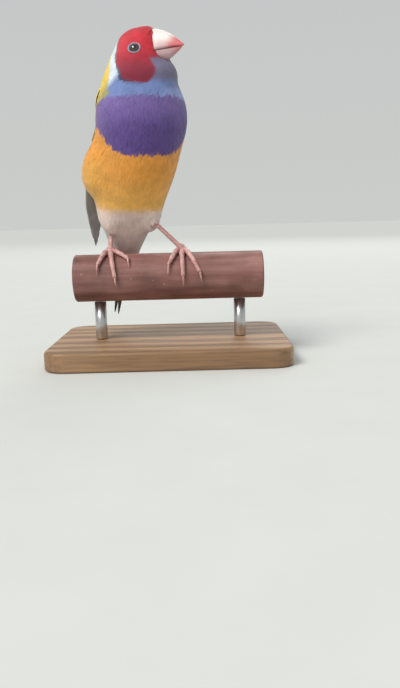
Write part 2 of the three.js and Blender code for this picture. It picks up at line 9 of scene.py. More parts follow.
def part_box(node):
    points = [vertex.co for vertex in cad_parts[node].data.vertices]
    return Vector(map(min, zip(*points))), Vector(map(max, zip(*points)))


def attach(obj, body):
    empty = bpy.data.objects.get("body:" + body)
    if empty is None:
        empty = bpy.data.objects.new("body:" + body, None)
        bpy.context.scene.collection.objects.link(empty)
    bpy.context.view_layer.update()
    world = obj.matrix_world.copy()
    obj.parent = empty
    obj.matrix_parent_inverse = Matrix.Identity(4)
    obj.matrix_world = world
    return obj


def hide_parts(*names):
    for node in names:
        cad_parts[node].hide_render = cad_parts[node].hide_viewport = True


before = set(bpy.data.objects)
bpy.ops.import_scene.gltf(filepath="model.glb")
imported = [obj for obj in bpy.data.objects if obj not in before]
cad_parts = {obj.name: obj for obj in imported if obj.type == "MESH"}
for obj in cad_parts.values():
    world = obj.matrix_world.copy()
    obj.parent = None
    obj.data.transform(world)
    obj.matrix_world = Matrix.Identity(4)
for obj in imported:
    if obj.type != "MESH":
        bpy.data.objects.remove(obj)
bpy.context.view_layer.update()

mm = 0.001
perchHeight = 34.5
birdShift = np.array([-12.0, -4.0, perchHeight])  # the perch's axis under the bird
draws = np.random.default_rng(7)


# Small helpers

def smooth(low, high, v):  # 0 at low, 1 at high
    share = np.clip((np.asarray(v, float) - low) / (high - low), 0, 1)
    return share * share * (3 - 2 * share)


def lerp(a, b, share):
    return a + (b - a) * share


def unit(v):
    return v / np.maximum(np.linalg.norm(v, axis=-1, keepdims=True), 1e-9)


def linear(red, green, blue):  # a screen colour, 0 to 255, as light
    c = np.array([red, green, blue]) / 255
    return np.where(c < 0.04045, c / 12.92, ((c + 0.055) / 1.055) ** 2.4)


def lineThrough(rows, t):  # smooth line through the rows, t counted in rows
    rows = np.asarray(rows, float)
    t = np.asarray(t, float)
    last = len(rows) - 1
    i = np.clip(np.floor(t).astype(int), 0, last - 1)
    f = (t - i)[..., None]
    a, b, c, d = (rows[np.clip(i + k, 0, last)] for k in (-1, 0, 1, 2))
    return b + 0.5 * f * (c - a + f * (2 * a - 5 * b + 4 * c - d + f * (3 * (b - c) + d - a)))


# The bird's body, as the frame has it

stance = {
    "trunkTurn": math.radians(18),
    "neckTurn": math.radians(40),
    "neckFrom": 68,
    "neckTo": 83,
    "neckBack": -1.0,
    "leanBelow": -3.0,
    "leanAbove": 2.6,
    "leanFrom": 20,
    "leanTo": 66,
    "tailLeanFrom": 15,
    "tailLeanSlope": 0.083,
    "tailLeanSoftness": 6,
}
# Height, how far back the middle lies, half width, depth before and behind the middle
trunkCuts = np.array([
    (2, 18.4, 4.2, 3.0, 3.2),
    (12, 13.8, 6.8, 5.6, 5.2),
    (21, 9.4, 10.4, 9.0, 7.8),
    (31, 5.4, 14.5, 12.8, 10.8),
    (42, 2.4, 16.6, 16.4, 13.6),
    (52, 0.6, 17.4, 18.0, 15.2),
    (62, -0.6, 18.7, 18.6, 16.0),
    (70, -1.0, 18.3, 17.6, 16.2),
    (78, -1.0, 15.8, 15.0, 16.0),
    (84, -1.0, 13.4, 12.8, 13.9),
    (88.5, -1.0, 11.2, 10.4, 11.2),
    (91.5, -1.0, 8.0, 7.5, 8.2),
    (95, -1.0, 3.0, 3.0, 3.0),
])
trunkTop = 92
masses = [
    {"at": (0, -1.6, 90.5), "size": (9.3, 10.4, 9.4), "blend": 5},  # skull
    {"at": (0, -6.8, 92.8), "size": (6.0, 4.8, 6.2), "blend": 3},  # forehead
    {"at": (0, -12.0, 80.2), "size": (6.0, 5.2, 5.6), "blend": 5},  # throat
    {"at": (8.2, 1.6, 26.5), "size": (4.6, 5.4, 7.5), "blend": 4},  # left thigh
    {"at": (-8.2, 3.2, 26.5), "size": (4.6, 5.4, 7.5), "blend": 4},  # right thigh
    {"at": (-16.8, 1.4, 45.5), "size": (6.0, 6.6, 9.5), "blend": 6},  # fluffed right flank
]
# How far back, height, forward tilt in degrees
ringLine = [
    (19.0, 1.0, 28), (13.6, 12, 26), (9.2, 21, 22), (5.2, 31, 16), (2.2, 42, 10),
    (0.4, 52, 4), (-0.6, 62, 0), (-1.0, 70, 0), (-1.0, 78, 0), (-1.2, 83, 6),
    (-1.8, 87, 14), (-2.8, 90.5, 24), (-4.4, 93.8, 34), (-7.2, 97.4, 44), (-8.7, 98.75, 46),
]
lastRing = len(ringLine) - 1
farthest = 40.0  # no point of the body is farther from its ring's middle
gentlest = 0.3  # least slope of the gap that a step trusts
heights = trunkCuts[:, 0]
lastCut = len(trunkCuts) - 1
cutSlopes = np.array([
    (trunkCuts[min(i + 1, lastCut), 1:] - trunkCuts[max(i - 1, 0), 1:])
    / (heights[min(i + 1, lastCut)] - heights[max(i - 1, 0)])
    for i in range(lastCut + 1)
])


def cutAt(z):
    i = np.clip(np.searchsorted(heights, z, side="left") - 1, 0, lastCut - 1)
    span = (heights[i + 1] - heights[i])[..., None]
    f = np.clip((z - heights[i])[..., None] / span, 0, 1)
    p, q = trunkCuts[i, 1:], trunkCuts[i + 1, 1:]
    m, n = cutSlopes[i] * span, cutSlopes[i + 1] * span
    return (2 * p + m - 2 * q + n) * f ** 3 + (3 * q - 3 * p - 2 * m - n) * f ** 2 + m * f + p


def gapToBody(p):  # rough distance outside the body, negative inside
    x, y, z = p[..., 0], p[..., 1], p[..., 2]
    back, half, front, rear = np.moveaxis(cutAt(z), -1, 0)
    column = (np.hypot(x / half, (y - back) / np.where(y < back, front, rear)) - 1) * half
    gap = np.maximum(column, z - trunkTop)
    for mass in masses:
        q = (p - mass["at"]) / mass["size"]
        ball = (np.linalg.norm(q, axis=-1) - 1) * min(mass["size"])
        near = np.maximum(mass["blend"] - np.abs(gap - ball), 0) / mass["blend"]
        gap = np.minimum(gap, ball) - near ** 2 * mass["blend"] / 4
    return gap


def awayFromBody(p):  # outward direction, and how fast the gap grows along it
    step = 0.05
    n = np.stack([gapToBody(p + d) - gapToBody(p - d) for d in np.eye(3) * step], -1)
    size = np.linalg.norm(n, axis=-1, keepdims=True)
    return n / size, size[..., 0] / (2 * step)


def toGap(p, gap, rounds=4):  # moves points to a distance from the body
    for _ in range(rounds):
        way, slope = awayFromBody(p)
        p = p + way * ((gap - gapToBody(p)) / np.maximum(slope, gentlest))[..., None]
    return p


def posed(p):  # the straight bird turned and leant into the photo's pose
    s = stance
    x, y, z = p[..., 0], p[..., 1], p[..., 2]
    neck = s["neckTurn"] * smooth(s["neckFrom"], s["neckTo"], z)
    nx = x * np.cos(neck) - (y - s["neckBack"]) * np.sin(neck)
    ny = x * np.sin(neck) + (y - s["neckBack"]) * np.cos(neck) + s["neckBack"]
    ct, st = math.cos(s["trunkTurn"]), math.sin(s["trunkTurn"])
    below = np.maximum(s["tailLeanFrom"] - z, 0)
    aside = lerp(s["leanBelow"], s["leanAbove"], smooth(s["leanFrom"], s["leanTo"], z))
    aside = aside - s["tailLeanSlope"] * (np.hypot(below, s["tailLeanSoftness"]) - s["tailLeanSoftness"])
    return np.stack([nx * ct - ny * st + aside, nx * st + ny * ct, z], -1)


# Point of the body on a ring, turn 0 in front and positive to the bird's left
def ringHit(t, turn, gap=0.0):
    t, turn = np.broadcast_arrays(np.asarray(t, float), np.asarray(turn, float))
    back, height, tilt = np.moveaxis(lineThrough(ringLine, t), -1, 0)
    tilt = np.radians(tilt)
    ahead = np.cos(turn)
    way = np.stack([np.sin(turn), -ahead * np.cos(tilt), -ahead * np.sin(tilt)], -1)
    middle = np.stack([np.zeros_like(back), back, height], -1)
    inside = np.zeros(t.shape)
    outside = np.full(t.shape, farthest)
    for _ in range(22):  # halves the reach each time
        reach = (inside + outside) / 2
        within = gapToBody(middle + way * reach[..., None]) < gap
        inside = np.where(within, reach, inside)
        outside = np.where(within, outside, reach)
    return middle + way * inside[..., None]


# Making meshes

def meshOf(name, points, faces, smoothShade=True):  # points in mm, faces as arrays of equal rows
    mesh = bpy.data.meshes.new(name)
    points = np.asarray(points, float).reshape(-1, 3) * mm
    faces = [np.asarray(f, np.int32) for f in (faces if isinstance(faces, list) else [faces])]
    corners = np.concatenate([f.ravel() for f in faces])
    counts = np.concatenate([np.full(len(f), f.shape[1], np.int32) for f in faces])
    mesh.vertices.add(len(points))
    mesh.vertices.foreach_set("co", points.ravel())
    mesh.loops.add(len(corners))
    mesh.loops.foreach_set("vertex_index", corners)
    mesh.polygons.add(len(counts))
    mesh.polygons.foreach_set("loop_start", np.concatenate([[0], np.cumsum(counts)[:-1]]).astype(np.int32))
    mesh.polygons.foreach_set("loop_total", counts)
    mesh.polygons.foreach_set("use_smooth", np.full(len(counts), smoothShade))
    mesh.update(calc_edges=True)
    mesh.validate()
    piece = bpy.data.objects.new(name, mesh)
    bpy.context.scene.collection.objects.link(piece)
    return piece


def addColours(piece, colours, name="plumage"):
    layer = piece.data.attributes.new(name, "FLOAT_COLOR", "POINT")
    rgba = np.ones((len(colours), 4), np.float32)
    rgba[:, :3] = colours
    layer.data.foreach_set("color", rgba.ravel())


def addUv(piece, name, perPoint):
    layer = piece.data.uv_layers.new(name=name)
    corners = np.empty(len(piece.data.loops), np.int32)
    piece.data.loops.foreach_get("vertex_index", corners)
    layer.data.foreach_set("uv", np.asarray(perPoint, np.float32)[corners].ravel())


def toWorld(points):
    return posed(points) + birdShift


def gridFaces(rows, cols):  # each row is a closed ring
    i, j = np.meshgrid(np.arange(rows - 1), np.arange(cols), indexing="ij")
    k = (j + 1) % cols
    return np.stack([i * cols + j, i * cols + k, (i + 1) * cols + k, (i + 1) * cols + j], -1).reshape(-1, 4)


def flipIfInside(points, quads, tris):
    total = 0.0
    for faces in (quads, tris):
        for k in range(1, faces.shape[1] - 1):
            a, b, c = (points[faces[:, m]] for m in (0, k, k + 1))
            total += np.einsum("ij,ij->", a, np.cross(b, c))
    return (quads[:, ::-1], tris[:, ::-1]) if total < 0 else (quads, tris)


def closedRings(rings):  # points and faces of one closed surface over rings, with a fan over each end
    rings = np.asarray(rings, float)
    rows, cols, _ = rings.shape
    points = np.concatenate([rings.reshape(-1, 3), rings[0].mean(0)[None], rings[-1].mean(0)[None]])
    quads = gridFaces(rows, cols)
    j = np.arange(cols)
    k = (j + 1) % cols
    last = (rows - 1) * cols
    tris = np.concatenate([
        np.stack([np.full(cols, rows * cols), k, j], -1),
        np.stack([np.full(cols, rows * cols + 1), last + j, last + k], -1),
    ])
    quads, tris = flipIfInside(points, quads, tris)
    return points, [quads, tris]


def joinParts(parts):  # one list of points and faces from many
    points, faces, start = [], [], 0
    for p, fs in parts:
        points.append(p)
        faces += [f + start for f in fs]
        start += len(p)
    return np.concatenate(points), faces


# Materials

def newMaterial(name):
    material = bpy.data.materials.new(name)
    material.use_nodes = True
    tree = material.node_tree
    tree.nodes.clear()
    out = tree.nodes.new("ShaderNodeOutputMaterial")
    shader = tree.nodes.new("ShaderNodeBsdfPrincipled")
    tree.links.new(shader.outputs[0], out.inputs[0])
    return material, tree, shader


def node(tree, kind, sockets=None, **settings):
    made = tree.nodes.new("ShaderNode" + kind)
    for name, value in settings.items():
        setattr(made, name, value)
    setSockets(made, sockets or {})
    return made


def setSockets(made, values):
    for name, value in values.items():
        made.inputs[name].default_value = value


def link(tree, source, target):
    tree.links.new(source, target)


def paintOf(tree, name):  # the colour stored at the points
    return node(tree, "Attribute", attribute_name=name).outputs["Color"]


def placeOf(tree):
    return node(tree, "TexCoord").outputs["Object"]


def noise(tree, coordinates, scale, detail=3.0, stretch=None):
    if stretch:
        mapping = node(tree, "Mapping", {"Scale": stretch})
        link(tree, coordinates, mapping.inputs["Vector"])
        coordinates = mapping.outputs[0]
    made = node(tree, "TexNoise", {"Scale": scale, "Detail": detail})
    link(tree, coordinates, made.inputs["Vector"])
    return made.outputs["Fac"]


def ramp(tree, value, stops):
    made = node(tree, "ValToRGB")
    elements = made.color_ramp.elements
    while len(elements) < len(stops):
        elements.new(0.5)
    for element, (place, colour) in zip(elements, stops):
        element.position = place
        element.color = (*colour, 1) if not np.isscalar(colour) else (colour, colour, colour, 1)
    link(tree, value, made.inputs[0])
    return made.outputs[0]


def feed(tree, socket, value):  # joins a socket to another, or gives it a plain value
    if isinstance(value, bpy.types.NodeSocket):
        link(tree, value, socket)
    else:
        socket.default_value = value if np.isscalar(value) else (*value, 1)


def mixColour(tree, a, b, factor, blend="MIX"):
    made = node(tree, "Mix", data_type="RGBA", blend_type=blend)
    for socket, value in ((made.inputs[0], factor), (made.inputs[6], a), (made.inputs[7], b)):
        feed(tree, socket, value)
    return made.outputs[2]


def tinted(tree, colour, tint, share=1.0):
    return mixColour(tree, colour, tint, share, "MULTIPLY")


def sums(tree, operation, *values):
    made = node(tree, "Math", operation=operation)
    for socket, value in zip(made.inputs, values):
        feed(tree, socket, value)
    return made.outputs[0]


def bump(tree, shader, height, strength, distance):
    made = node(tree, "Bump", {"Strength": strength, "Distance": distance})
    link(tree, height, made.inputs["Height"])
    link(tree, made.outputs[0], shader.inputs["Normal"])


featherLook = {
    "roughness": 0.72,
    "sheen": 0.25,
    "sheenRoughness": 0.5,
    "specular": 0.3,
    "barbSlant": 0.8,
    "barbDark": 0.84,
    "barbPale": 1.04,
    "barbShare": 0.8,
    "barbHeight": 0.00008,
    "barbBump": 0.35,
    "patchScale": 260,
    "quillHalf": 0.05,
    "quillTint": (0.35, 0.33, 0.32),
    "rimColour": (0.78, 0.74, 0.62),
}


def featherMaterial(name, barbCount, paleEdge=0.0, shaft=0.25, sheen=None):
    look = featherLook
    material, tree, shader = newMaterial(name)
    vane = node(tree, "UVMap", uv_map="vane")
    split = node(tree, "SeparateXYZ")
    link(tree, vane.outputs[0], split.inputs[0])
    across = sums(tree, "ABSOLUTE", sums(tree, "SUBTRACT", split.outputs[0], 0.5))  # 0.5 at the vane's edge
    slant = sums(tree, "SUBTRACT", split.outputs[1], sums(tree, "MULTIPLY", across, look["barbSlant"]))
    wave = sums(tree, "SINE", sums(tree, "MULTIPLY", slant, barbCount * 2 * math.pi))
    barbs = sums(tree, "MULTIPLY_ADD", wave, 0.5, 0.5)
    patch = noise(tree, placeOf(tree), look["patchScale"], 2)
    colour = tinted(tree, paintOf(tree, "plumage"), ramp(tree, patch, [(0.3, 0.86), (0.7, 1.08)]))
    lines = ramp(tree, barbs, [(0.0, look["barbDark"]), (0.6, look["barbPale"])])
    colour = tinted(tree, colour, lines, look["barbShare"])
    quill = ramp(tree, across, [(0.0, 1.0), (look["quillHalf"], 0.0)])
    darker = tinted(tree, colour, look["quillTint"])
    colour = mixColour(tree, colour, darker, sums(tree, "MULTIPLY", quill, shaft))
    if paleEdge:
        rim = ramp(tree, across, [(0.36, 0.0), (0.47, 1.0)])
        colour = mixColour(tree, colour, look["rimColour"], sums(tree, "MULTIPLY", rim, paleEdge))
    link(tree, colour, shader.inputs["Base Color"])
    rough = ramp(tree, barbs, [(0.0, look["roughness"] + 0.08), (1.0, look["roughness"] - 0.12)])
    link(tree, rough, shader.inputs["Roughness"])
    setSockets(shader, {
        "Sheen Weight": look["sheen"] if sheen is None else sheen,
        "Sheen Roughness": look["sheenRoughness"],
        "Specular IOR Level": look["specular"],
    })
    bump(tree, shader, barbs, look["barbBump"], look["barbHeight"])
    return material


# Plumage colours of the cock, by place on the straight bird

plumage = {
    "red": linear(205, 44, 58),
    # the mask darkens downwards: partly its own deeper crimson, partly painted shade on the lower face
    "redDeepAndShade": linear(118, 34, 60),
    "line": linear(38, 30, 44),
    "throat": linear(118, 112, 140),
    "collarPale": linear(222, 232, 238),
    "collarBlue": linear(122, 142, 196),
    "collarBright": linear(150, 166, 228),
    "yellow": linear(240, 208, 84),
    "olive": linear(176, 168, 104),
    "back": linear(196, 190, 140),
    "rump": linear(196, 204, 206),
    "purple": linear(88, 66, 132),
    "purpleLight": linear(128, 106, 172),
    "orange": linear(226, 152, 62),
    "gold": linear(236, 184, 92),
    "vent": linear(226, 204, 194),
    "down": linear(214, 206, 198),
}
maskPlan = {  # the red mask's edge, as a reach from a middle on the face, by angle
    "middle": (-8.0, 89.0),
    "angles": [-150, -118, -96, -54, -18, 8, 25, 38, 60],
    "reaches": [15.0, 13.6, 11.0, 9.1, 9.3, 9.8, 12.7, 14.6, 17.0],
    "line": 0.7,
    "collar": 4.2,
}
markPlan = {  # a pair is where a colour starts and where it is full, in mm
    "gold": (46, 30),
    "goldSide": (10, 19),
    "goldSideBelow": (52, 46),
    "ventTop": 30.5,
    "breastTop": 72.4,
    "breastBottom": 50.2,
    "breastSideRise": 10.7,
    "breastHalf": 18.2,
    "breastFront": (1.0, -1.0),
    "violet": (58, 72),
    "behind": (0.5, 4.5),
    "backRise": (12, 20),
    "backYellow": (54, 80),
    "rump": (34, 24),
    "neckBack": (-4, 5),
    "neckSide": (-9, -5),
    "neckRise": (62, 68),
    "bright": (-4, 8),
    "brightBelow": (80, 74),
    "paleBack": (-5, 1),
    "paleRise": (80, 84),
    "band": (66, 74),
    "front": (-6, -9),
    # where the mask darkens downwards: partly its own deeper red, partly painted shade
    "redDeepAndShade": (92, 82),
    "lineRise": (76, 78),
    "chinHalves": (9.4, 7.2),
    "chinTop": (87.5, 86),
    "chinLow": (75.5, 76.5),
    "chinFront": -8,
    "throat": (76.4, 80.5),
}


def markings(p, jitter=0.0):  # colour at places on the straight bird
    x, y, z = np.abs(p[..., 0]), p[..., 1] + jitter, p[..., 2] + jitter
    mask, mark = maskPlan, markPlan
    dy, dz = y - mask["middle"][0], z - mask["middle"][1]
    reach = np.interp(np.degrees(np.arctan2(dz, dy)), mask["angles"], mask["reaches"])
    past = np.hypot(dy, dz) - reach

    def over(base, colour, share):
        return base + (colour - base) * np.asarray(share)[..., None]

    def rise(name, v):
        return smooth(*mark[name], v)

    paint = np.broadcast_to(plumage["orange"], (*x.shape, 3))
    paint = over(paint, plumage["gold"], rise("gold", z) * 0.8)
    paint = over(paint, plumage["gold"], rise("goldSide", x) * rise("goldSideBelow", z) * 0.5)
    paint = over(paint, plumage["vent"], smooth(mark["ventTop"] + 1.5, mark["ventTop"] - 2.5, z - 0.2 * y))
    bottom = mark["breastBottom"] + mark["breastSideRise"] * np.minimum(x / mark["breastHalf"], 1.1) ** 4.5
    chest = smooth(bottom - 0.5, bottom + 0.7, z) * rise("breastFront", y)
    violet = over(plumage["purple"], plumage["purpleLight"], rise("violet", z) * 0.75)
    paint = over(paint, violet, chest)
    behind = rise("behind", y + 0.12 * (z - 50) * (z < 50))
    back = over(plumage["back"], plumage["yellow"], rise("backYellow", z) * 0.8)
    back = over(back, plumage["rump"], rise("rump", z))
    paint = over(paint, back, behind * rise("backRise", z))
    collarLow = smooth(mark["breastTop"] - 0.8, mark["breastTop"] + 0.6, z + 0.25 * np.maximum(y + 6, 0))
    neckSide = over(plumage["olive"], plumage["yellow"], rise("neckBack", y))
    neckSide = over(neckSide, back, smooth(82, 70, z) * smooth(0, 6, y))
    paint = over(paint, neckSide, collarLow * rise("neckSide", y) * rise("neckRise", z))
    brightness = rise("bright", p[..., 0]) * rise("brightBelow", z)
    blue = over(plumage["collarBlue"], plumage["collarBright"], brightness)
    blue = over(blue, plumage["collarPale"], np.maximum(rise("paleBack", y), rise("paleRise", z)))
    inBand = smooth(mask["collar"] + 0.5, mask["collar"] - 0.5, past)
    paint = over(paint, blue, np.maximum(inBand * rise("band", z), collarLow * rise("front", y)))
    onLine = smooth(mask["line"] + 0.2, mask["line"] - 0.2, past) * rise("lineRise", z)
    paint = over(paint, plumage["line"], onLine * 0.8)
    # lower face darker: partly the mask's own deeper red, partly painted shade
    red = over(plumage["red"], plumage["redDeepAndShade"], rise("redDeepAndShade", z) * 0.8)
    paint = over(paint, red, smooth(0.15, -0.15, past))
    chinHalf = np.where(p[..., 0] > 0, *mark["chinHalves"])
    chin = smooth(0.4, -0.8, x - chinHalf) * rise("chinTop", z) * (y < mark["chinFront"])
    throat = over(plumage["collarBlue"], plumage["throat"], rise("throat", z))
    return over(paint, throat, chin * rise("chinLow", z))


# Feathers: each is a thin closed blade along its own middle line

vaneShapes = {  # places along the length, and the share of the half width there
    "small": ([0, 0.22, 0.48, 0.72, 0.9, 1.0], [0.6, 0.94, 1.0, 0.9, 0.58, 0.12]),
    "round": (
        [0, 0.12, 0.3, 0.5, 0.68, 0.82, 0.92, 0.98, 1.0],
        [0.3, 0.6, 0.86, 1.0, 1.0, 0.86, 0.62, 0.34, 0.08],
    ),
    "flight": ([0, 0.1, 0.4, 0.7, 0.84, 0.92, 0.97, 1.0], [0.5, 0.8, 1.0, 0.95, 0.8, 0.6, 0.36, 0.06]),
    "long": ([0, 0.1, 0.4, 0.62, 0.8, 0.92, 1.0], [0.8, 1.0, 0.9, 0.68, 0.45, 0.28, 0.1]),
}
bakePatch = 0.003  # side of a feather's patch on the baked layout
layoutMargin = 0.005


# One mesh from rings of points (feather, row, point round the blade). For each point over the top, lower
# holds its partner underneath. For each point of a ring, across holds its place from edge to edge, 0 to 1
def bladeMesh(ring, lower, across, along, matched=False):
    count, rows, around, _ = ring.shape
    grid = gridFaces(rows, around)
    if matched:  # the underside splits its quads as the top does, so that it can't show through
        grid = grid.reshape(rows - 1, around, 4)
        grid[:, len(lower) - 1:] = np.roll(grid[:, len(lower) - 1:], -1, -1)
        grid = grid.reshape(-1, 4)
    caps = {3: [], 4: []}
    for first in (0, (rows - 1) * around):
        for j in range(len(lower) - 1):
            cap = [first + j, first + j + 1, first + lower[j + 1], first + lower[j]]
            cap = list(dict.fromkeys(cap if first else cap[::-1]))
            caps[len(cap)].append(cap)
    offsets = (np.arange(count) * rows * around)[:, None, None]
    quads = np.concatenate([grid, np.array(caps[4], int).reshape(-1, 4)])
    quads = (quads[None] + offsets).reshape(-1, 4)
    tris = (np.array(caps[3], int).reshape(-1, 3)[None] + offsets).reshape(-1, 3)
    points = ring.reshape(-1, 3)
    quads, tris = flipIfInside(points - points.mean(0), quads, tris)
    vane = np.stack(np.broadcast_arrays(across[None, :], along[:, None]), -1).reshape(1, -1, 2)
    vane = np.broadcast_to(vane, (count, rows * around, 2)).reshape(-1, 2)
    return points, [quads, tris], vane


# middles, aside and out are (feather, row, 3); halves is (feather, row) in mm
def blades(middles, aside, out, halves, shape, camber=0.12, thickness=0.1, fray=0.0, columns=3):
    rows = middles.shape[1]
    places = np.linspace(-1, 1, columns)
    width = halves.copy()
    if fray:
        width = width * (1 + fray * draws.uniform(-1, 1, width.shape) * np.linspace(0, 1, rows) ** 0.5)
    spread = places[None, None, :, None] * width[:, :, None, None] * aside[:, :, None, :]
    dome = (1 - places ** 2)[None, None, :, None]
    arch = dome * camber * out[:, :, None, :]
    top = middles[:, :, None, :] + spread + arch
    under = middles[:, :, None, :] + spread * 0.999 + (arch - thickness * dome * out[:, :, None, :])
    back = slice(columns - 2, 0, -1)  # both sides share the edges
    ring = np.concatenate([top, under[:, :, back]], 2)
    across = np.concatenate([places, places[back]]) * 0.5 + 0.5
    lower = [0, *range(2 * columns - 3, columns - 1, -1), columns - 1]
    return bladeMesh(ring, lower, across, np.asarray(vaneShapes[shape][0]), matched=True)


def shadeWith(piece, points, normals):  # soft shading: the feathers take the body's curve
    turned = unit(toWorld(points + 0.01 * unit(normals)) - toWorld(points))
    piece.data.normals_split_custom_set_from_vertices(turned)


def finishCoat(name, points, faces, vane, colours, rootPlaces, perFeather, material):
    piece = meshOf(name, points, faces)
    addColours(piece, colours)
    addUv(piece, "vane", vane)
    addUv(piece, "OFBake", np.repeat(rootPlaces, perFeather, 0) + (vane - 0.5) * bakePatch)
    piece.data.materials.append(material)
    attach(piece, "root")
    return piece


# A wing or the tail: many blades and their core joined to one piece
def joinFeathers(name, made, material):
    points, faces = joinParts([(points, faces) for points, faces, *_ in made])
    vane, colours, roots = (np.concatenate([part[k] for part in made]) for k in (2, 3, 4))
    piece = meshOf(name, toWorld(points), faces)
    addColours(piece, colours)
    addUv(piece, "vane", vane)
    addUv(piece, "OFBake", roots + (vane - 0.5) * bakePatch)
    piece.data.materials.append(material)
    return piece


def corePart(points, faces, colour):  # what the blades grow from, with its plain colour and layouts
    many = len(points)
    roots = np.stack([np.linspace(0.1, 0.9, many), np.full(many, 0.95)], -1)
    # the core takes the feathers' colour at 0.7: painted shade under the blades
    return points, faces, np.full((many, 2), 0.3), np.broadcast_to(colour * 0.7, points.shape), roots


# Coat of small body feathers

coat = {
    # ring place, feather length, half width, distance between rows, depth of the coat over the skin
    "places": [0.0, 1.5, 3.0, 5.0, 7.0, 8.0, 9.5, 11.0, 12.2, 14.0],
    "lengths": [4.6, 5.4, 5.6, 5.0, 4.1, 3.1, 2.4, 1.9, 1.5, 1.2],
    "halves": [0.8, 0.92, 0.95, 0.88, 0.74, 0.57, 0.45, 0.38, 0.34, 0.3],
    "rows": [0.85, 0.85, 0.86, 0.95, 0.84, 0.7, 0.54, 0.45, 0.39, 0.35],
    "depths": [0.45, 0.55, 0.6, 0.6, 0.55, 0.45, 0.36, 0.3, 0.26, 0.22],
    "spacing": 1.02,
    "tipRise": 0.12,
    "tipLift": 0.05,
    "ownCurve": 0.3,
    "sway": 0.13,
    "thickness": 0.05,
    "camber": 0.05,
    "fray": 0.2,
    "tone": 0.045,
    # each feather is painted darker at its root, as shade under the feather over it, and a little lighter at
    # its tip, as painted light
    "rootPaintedShade": 0.9,
    "tipPaintedLight": 1.02,
    # the skin under the coat is painted darker than the feathers: painted shade in the gaps between them
    "skinPaintedShade": 0.8,
    "skinRings": 250,
    "skinPoints": 150,
    "skinFrom": 0.12,
    "firstRing": 0.25,
    "flowStep": 0.12,
    "leastBend": 0.8,  # a feather below these, or above the next two, has folded in a crease
    "leastTurn": 0.86,
    "mostReach": 0.6,
    "mostRise": 0.75,
}
coatZones = [
    ("coat_vent", 0, 2.9, "belly_feathers"),
    ("coat_belly", 2.9, 4.9, "belly_feathers"),
    ("coat_breast", 4.9, 7.1, "breast_feathers"),
    ("coat_collar", 7.1, 9.0, "head_feathers"),
    ("coat_cheeks", 9.0, 10.4, "head_feathers"),
    ("coat_face", 10.4, 11.9, "head_feathers"),
    ("coat_crown", 11.9, 99, "head_feathers"),
]


def coatValue(name, t):
    return np.interp(t, coat["places"], coat[name])


def inBill(p):  # places that the bill covers
    ahead = -p[..., 1] + stance["neckBack"]
    half, top, _, bottom, _ = billAt(ahead)
    rim = 0.1
    beside = np.abs(p[..., 0]) < half + rim
    return (ahead > bill["root"] + 0.3) & beside & (p[..., 2] < top + rim) & (p[..., 2] > bottom - rim)


def inEye(p, extra=0.0):
    eyes = np.array([eyePlace(side)[0] for side in (1, -1)])
    away = np.linalg.norm(p[..., None, :] - eyes, axis=-1).min(-1)
    return away < eye["lid"] + extra


def layoutPlace(t, turn):  # where a place on the body lies on the baked layout
    return turn / (2 * math.pi) + 0.5, t / lastRing


def makeSkin():  # one closed skin under the coat
    t = np.linspace(coat["skinFrom"], lastRing, coat["skinRings"])[:, None]
    turn = np.linspace(-math.pi, math.pi, coat["skinPoints"], endpoint=False)[None]
    points, faces = closedRings(ringHit(t, turn, -coatValue("depths", t)))
    skin = meshOf("bird_skin", toWorld(points), faces)
    # the skin takes the feathers' colours painted darker, as shade in the gaps between feathers
    addColours(skin, markings(points) * coat["skinPaintedShade"])
    addUv(skin, "vane", np.full((len(points), 2), 0.3))
    uv = np.stack(np.broadcast_arrays(*layoutPlace(t, turn)), -1).reshape(-1, 2)
    addUv(skin, "OFBake", np.concatenate([uv, [[0.5, 0], [0.5, 1]]]))
    skin.data.materials.append(featherMaterial("downSkin", 4, shaft=0.0))
    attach(skin, "root")
    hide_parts("head", "neck", "torso")


def bodyFeathers():  # ring place and turn of every small feather, row after row from vent to crown
    turns, ts = [], []
    t = coat["firstRing"]
    stagger = 0
    probes, step = 64, 0.1
    whole = np.linspace(-math.pi, math.pi, probes + 1)
    while t < lastRing:
        ring = ringHit(np.full(probes, t), whole[:-1])
        around = np.linalg.norm(np.roll(ring, -1, 0) - ring, axis=-1)
        length = around.sum()
        count = max(int(length / (coatValue("halves", t) * coat["spacing"])), 6)
        shares = (np.arange(count) + 0.5 * stagger + draws.uniform(-0.25, 0.25, count)) / count
        byLength = np.concatenate([[0], np.cumsum(around)]) / length
        turns.append(np.interp(shares % 1, byLength, whole))
        ts.append(np.full(count, t) + draws.uniform(-0.3, 0.3, count) * 0.06)
        stagger = 1 - stagger
        ahead = ringHit(np.full(probes, t + step), whole[:-1])
        pace = np.linalg.norm(ahead - ring, axis=-1).max() / step
        t += coatValue("rows", t) / pace
    return np.concatenate(ts), np.concatenate(turns)


def isStraight(path, outs, lengths):  # finds the feathers that don't fold in a crease of the body
    steps = np.diff(path, axis=1)
    ways = unit(steps)
    bend = (ways[:, 1:] * ways[:, :-1]).sum(-1).min(1)
    turned = (outs[:, 1:] * outs[:, :-1]).sum(-1).min(1)
    reach = np.linalg.norm(steps, axis=-1).max(1) / lengths
    rise = abs((ways * outs[:, 1:]).sum(-1)).max(1)
    smoothRun = (bend > coat["leastBend"]) & (turned > coat["leastTurn"])
    return smoothRun & (reach < coat["mostReach"]) & (rise < coat["mostRise"])


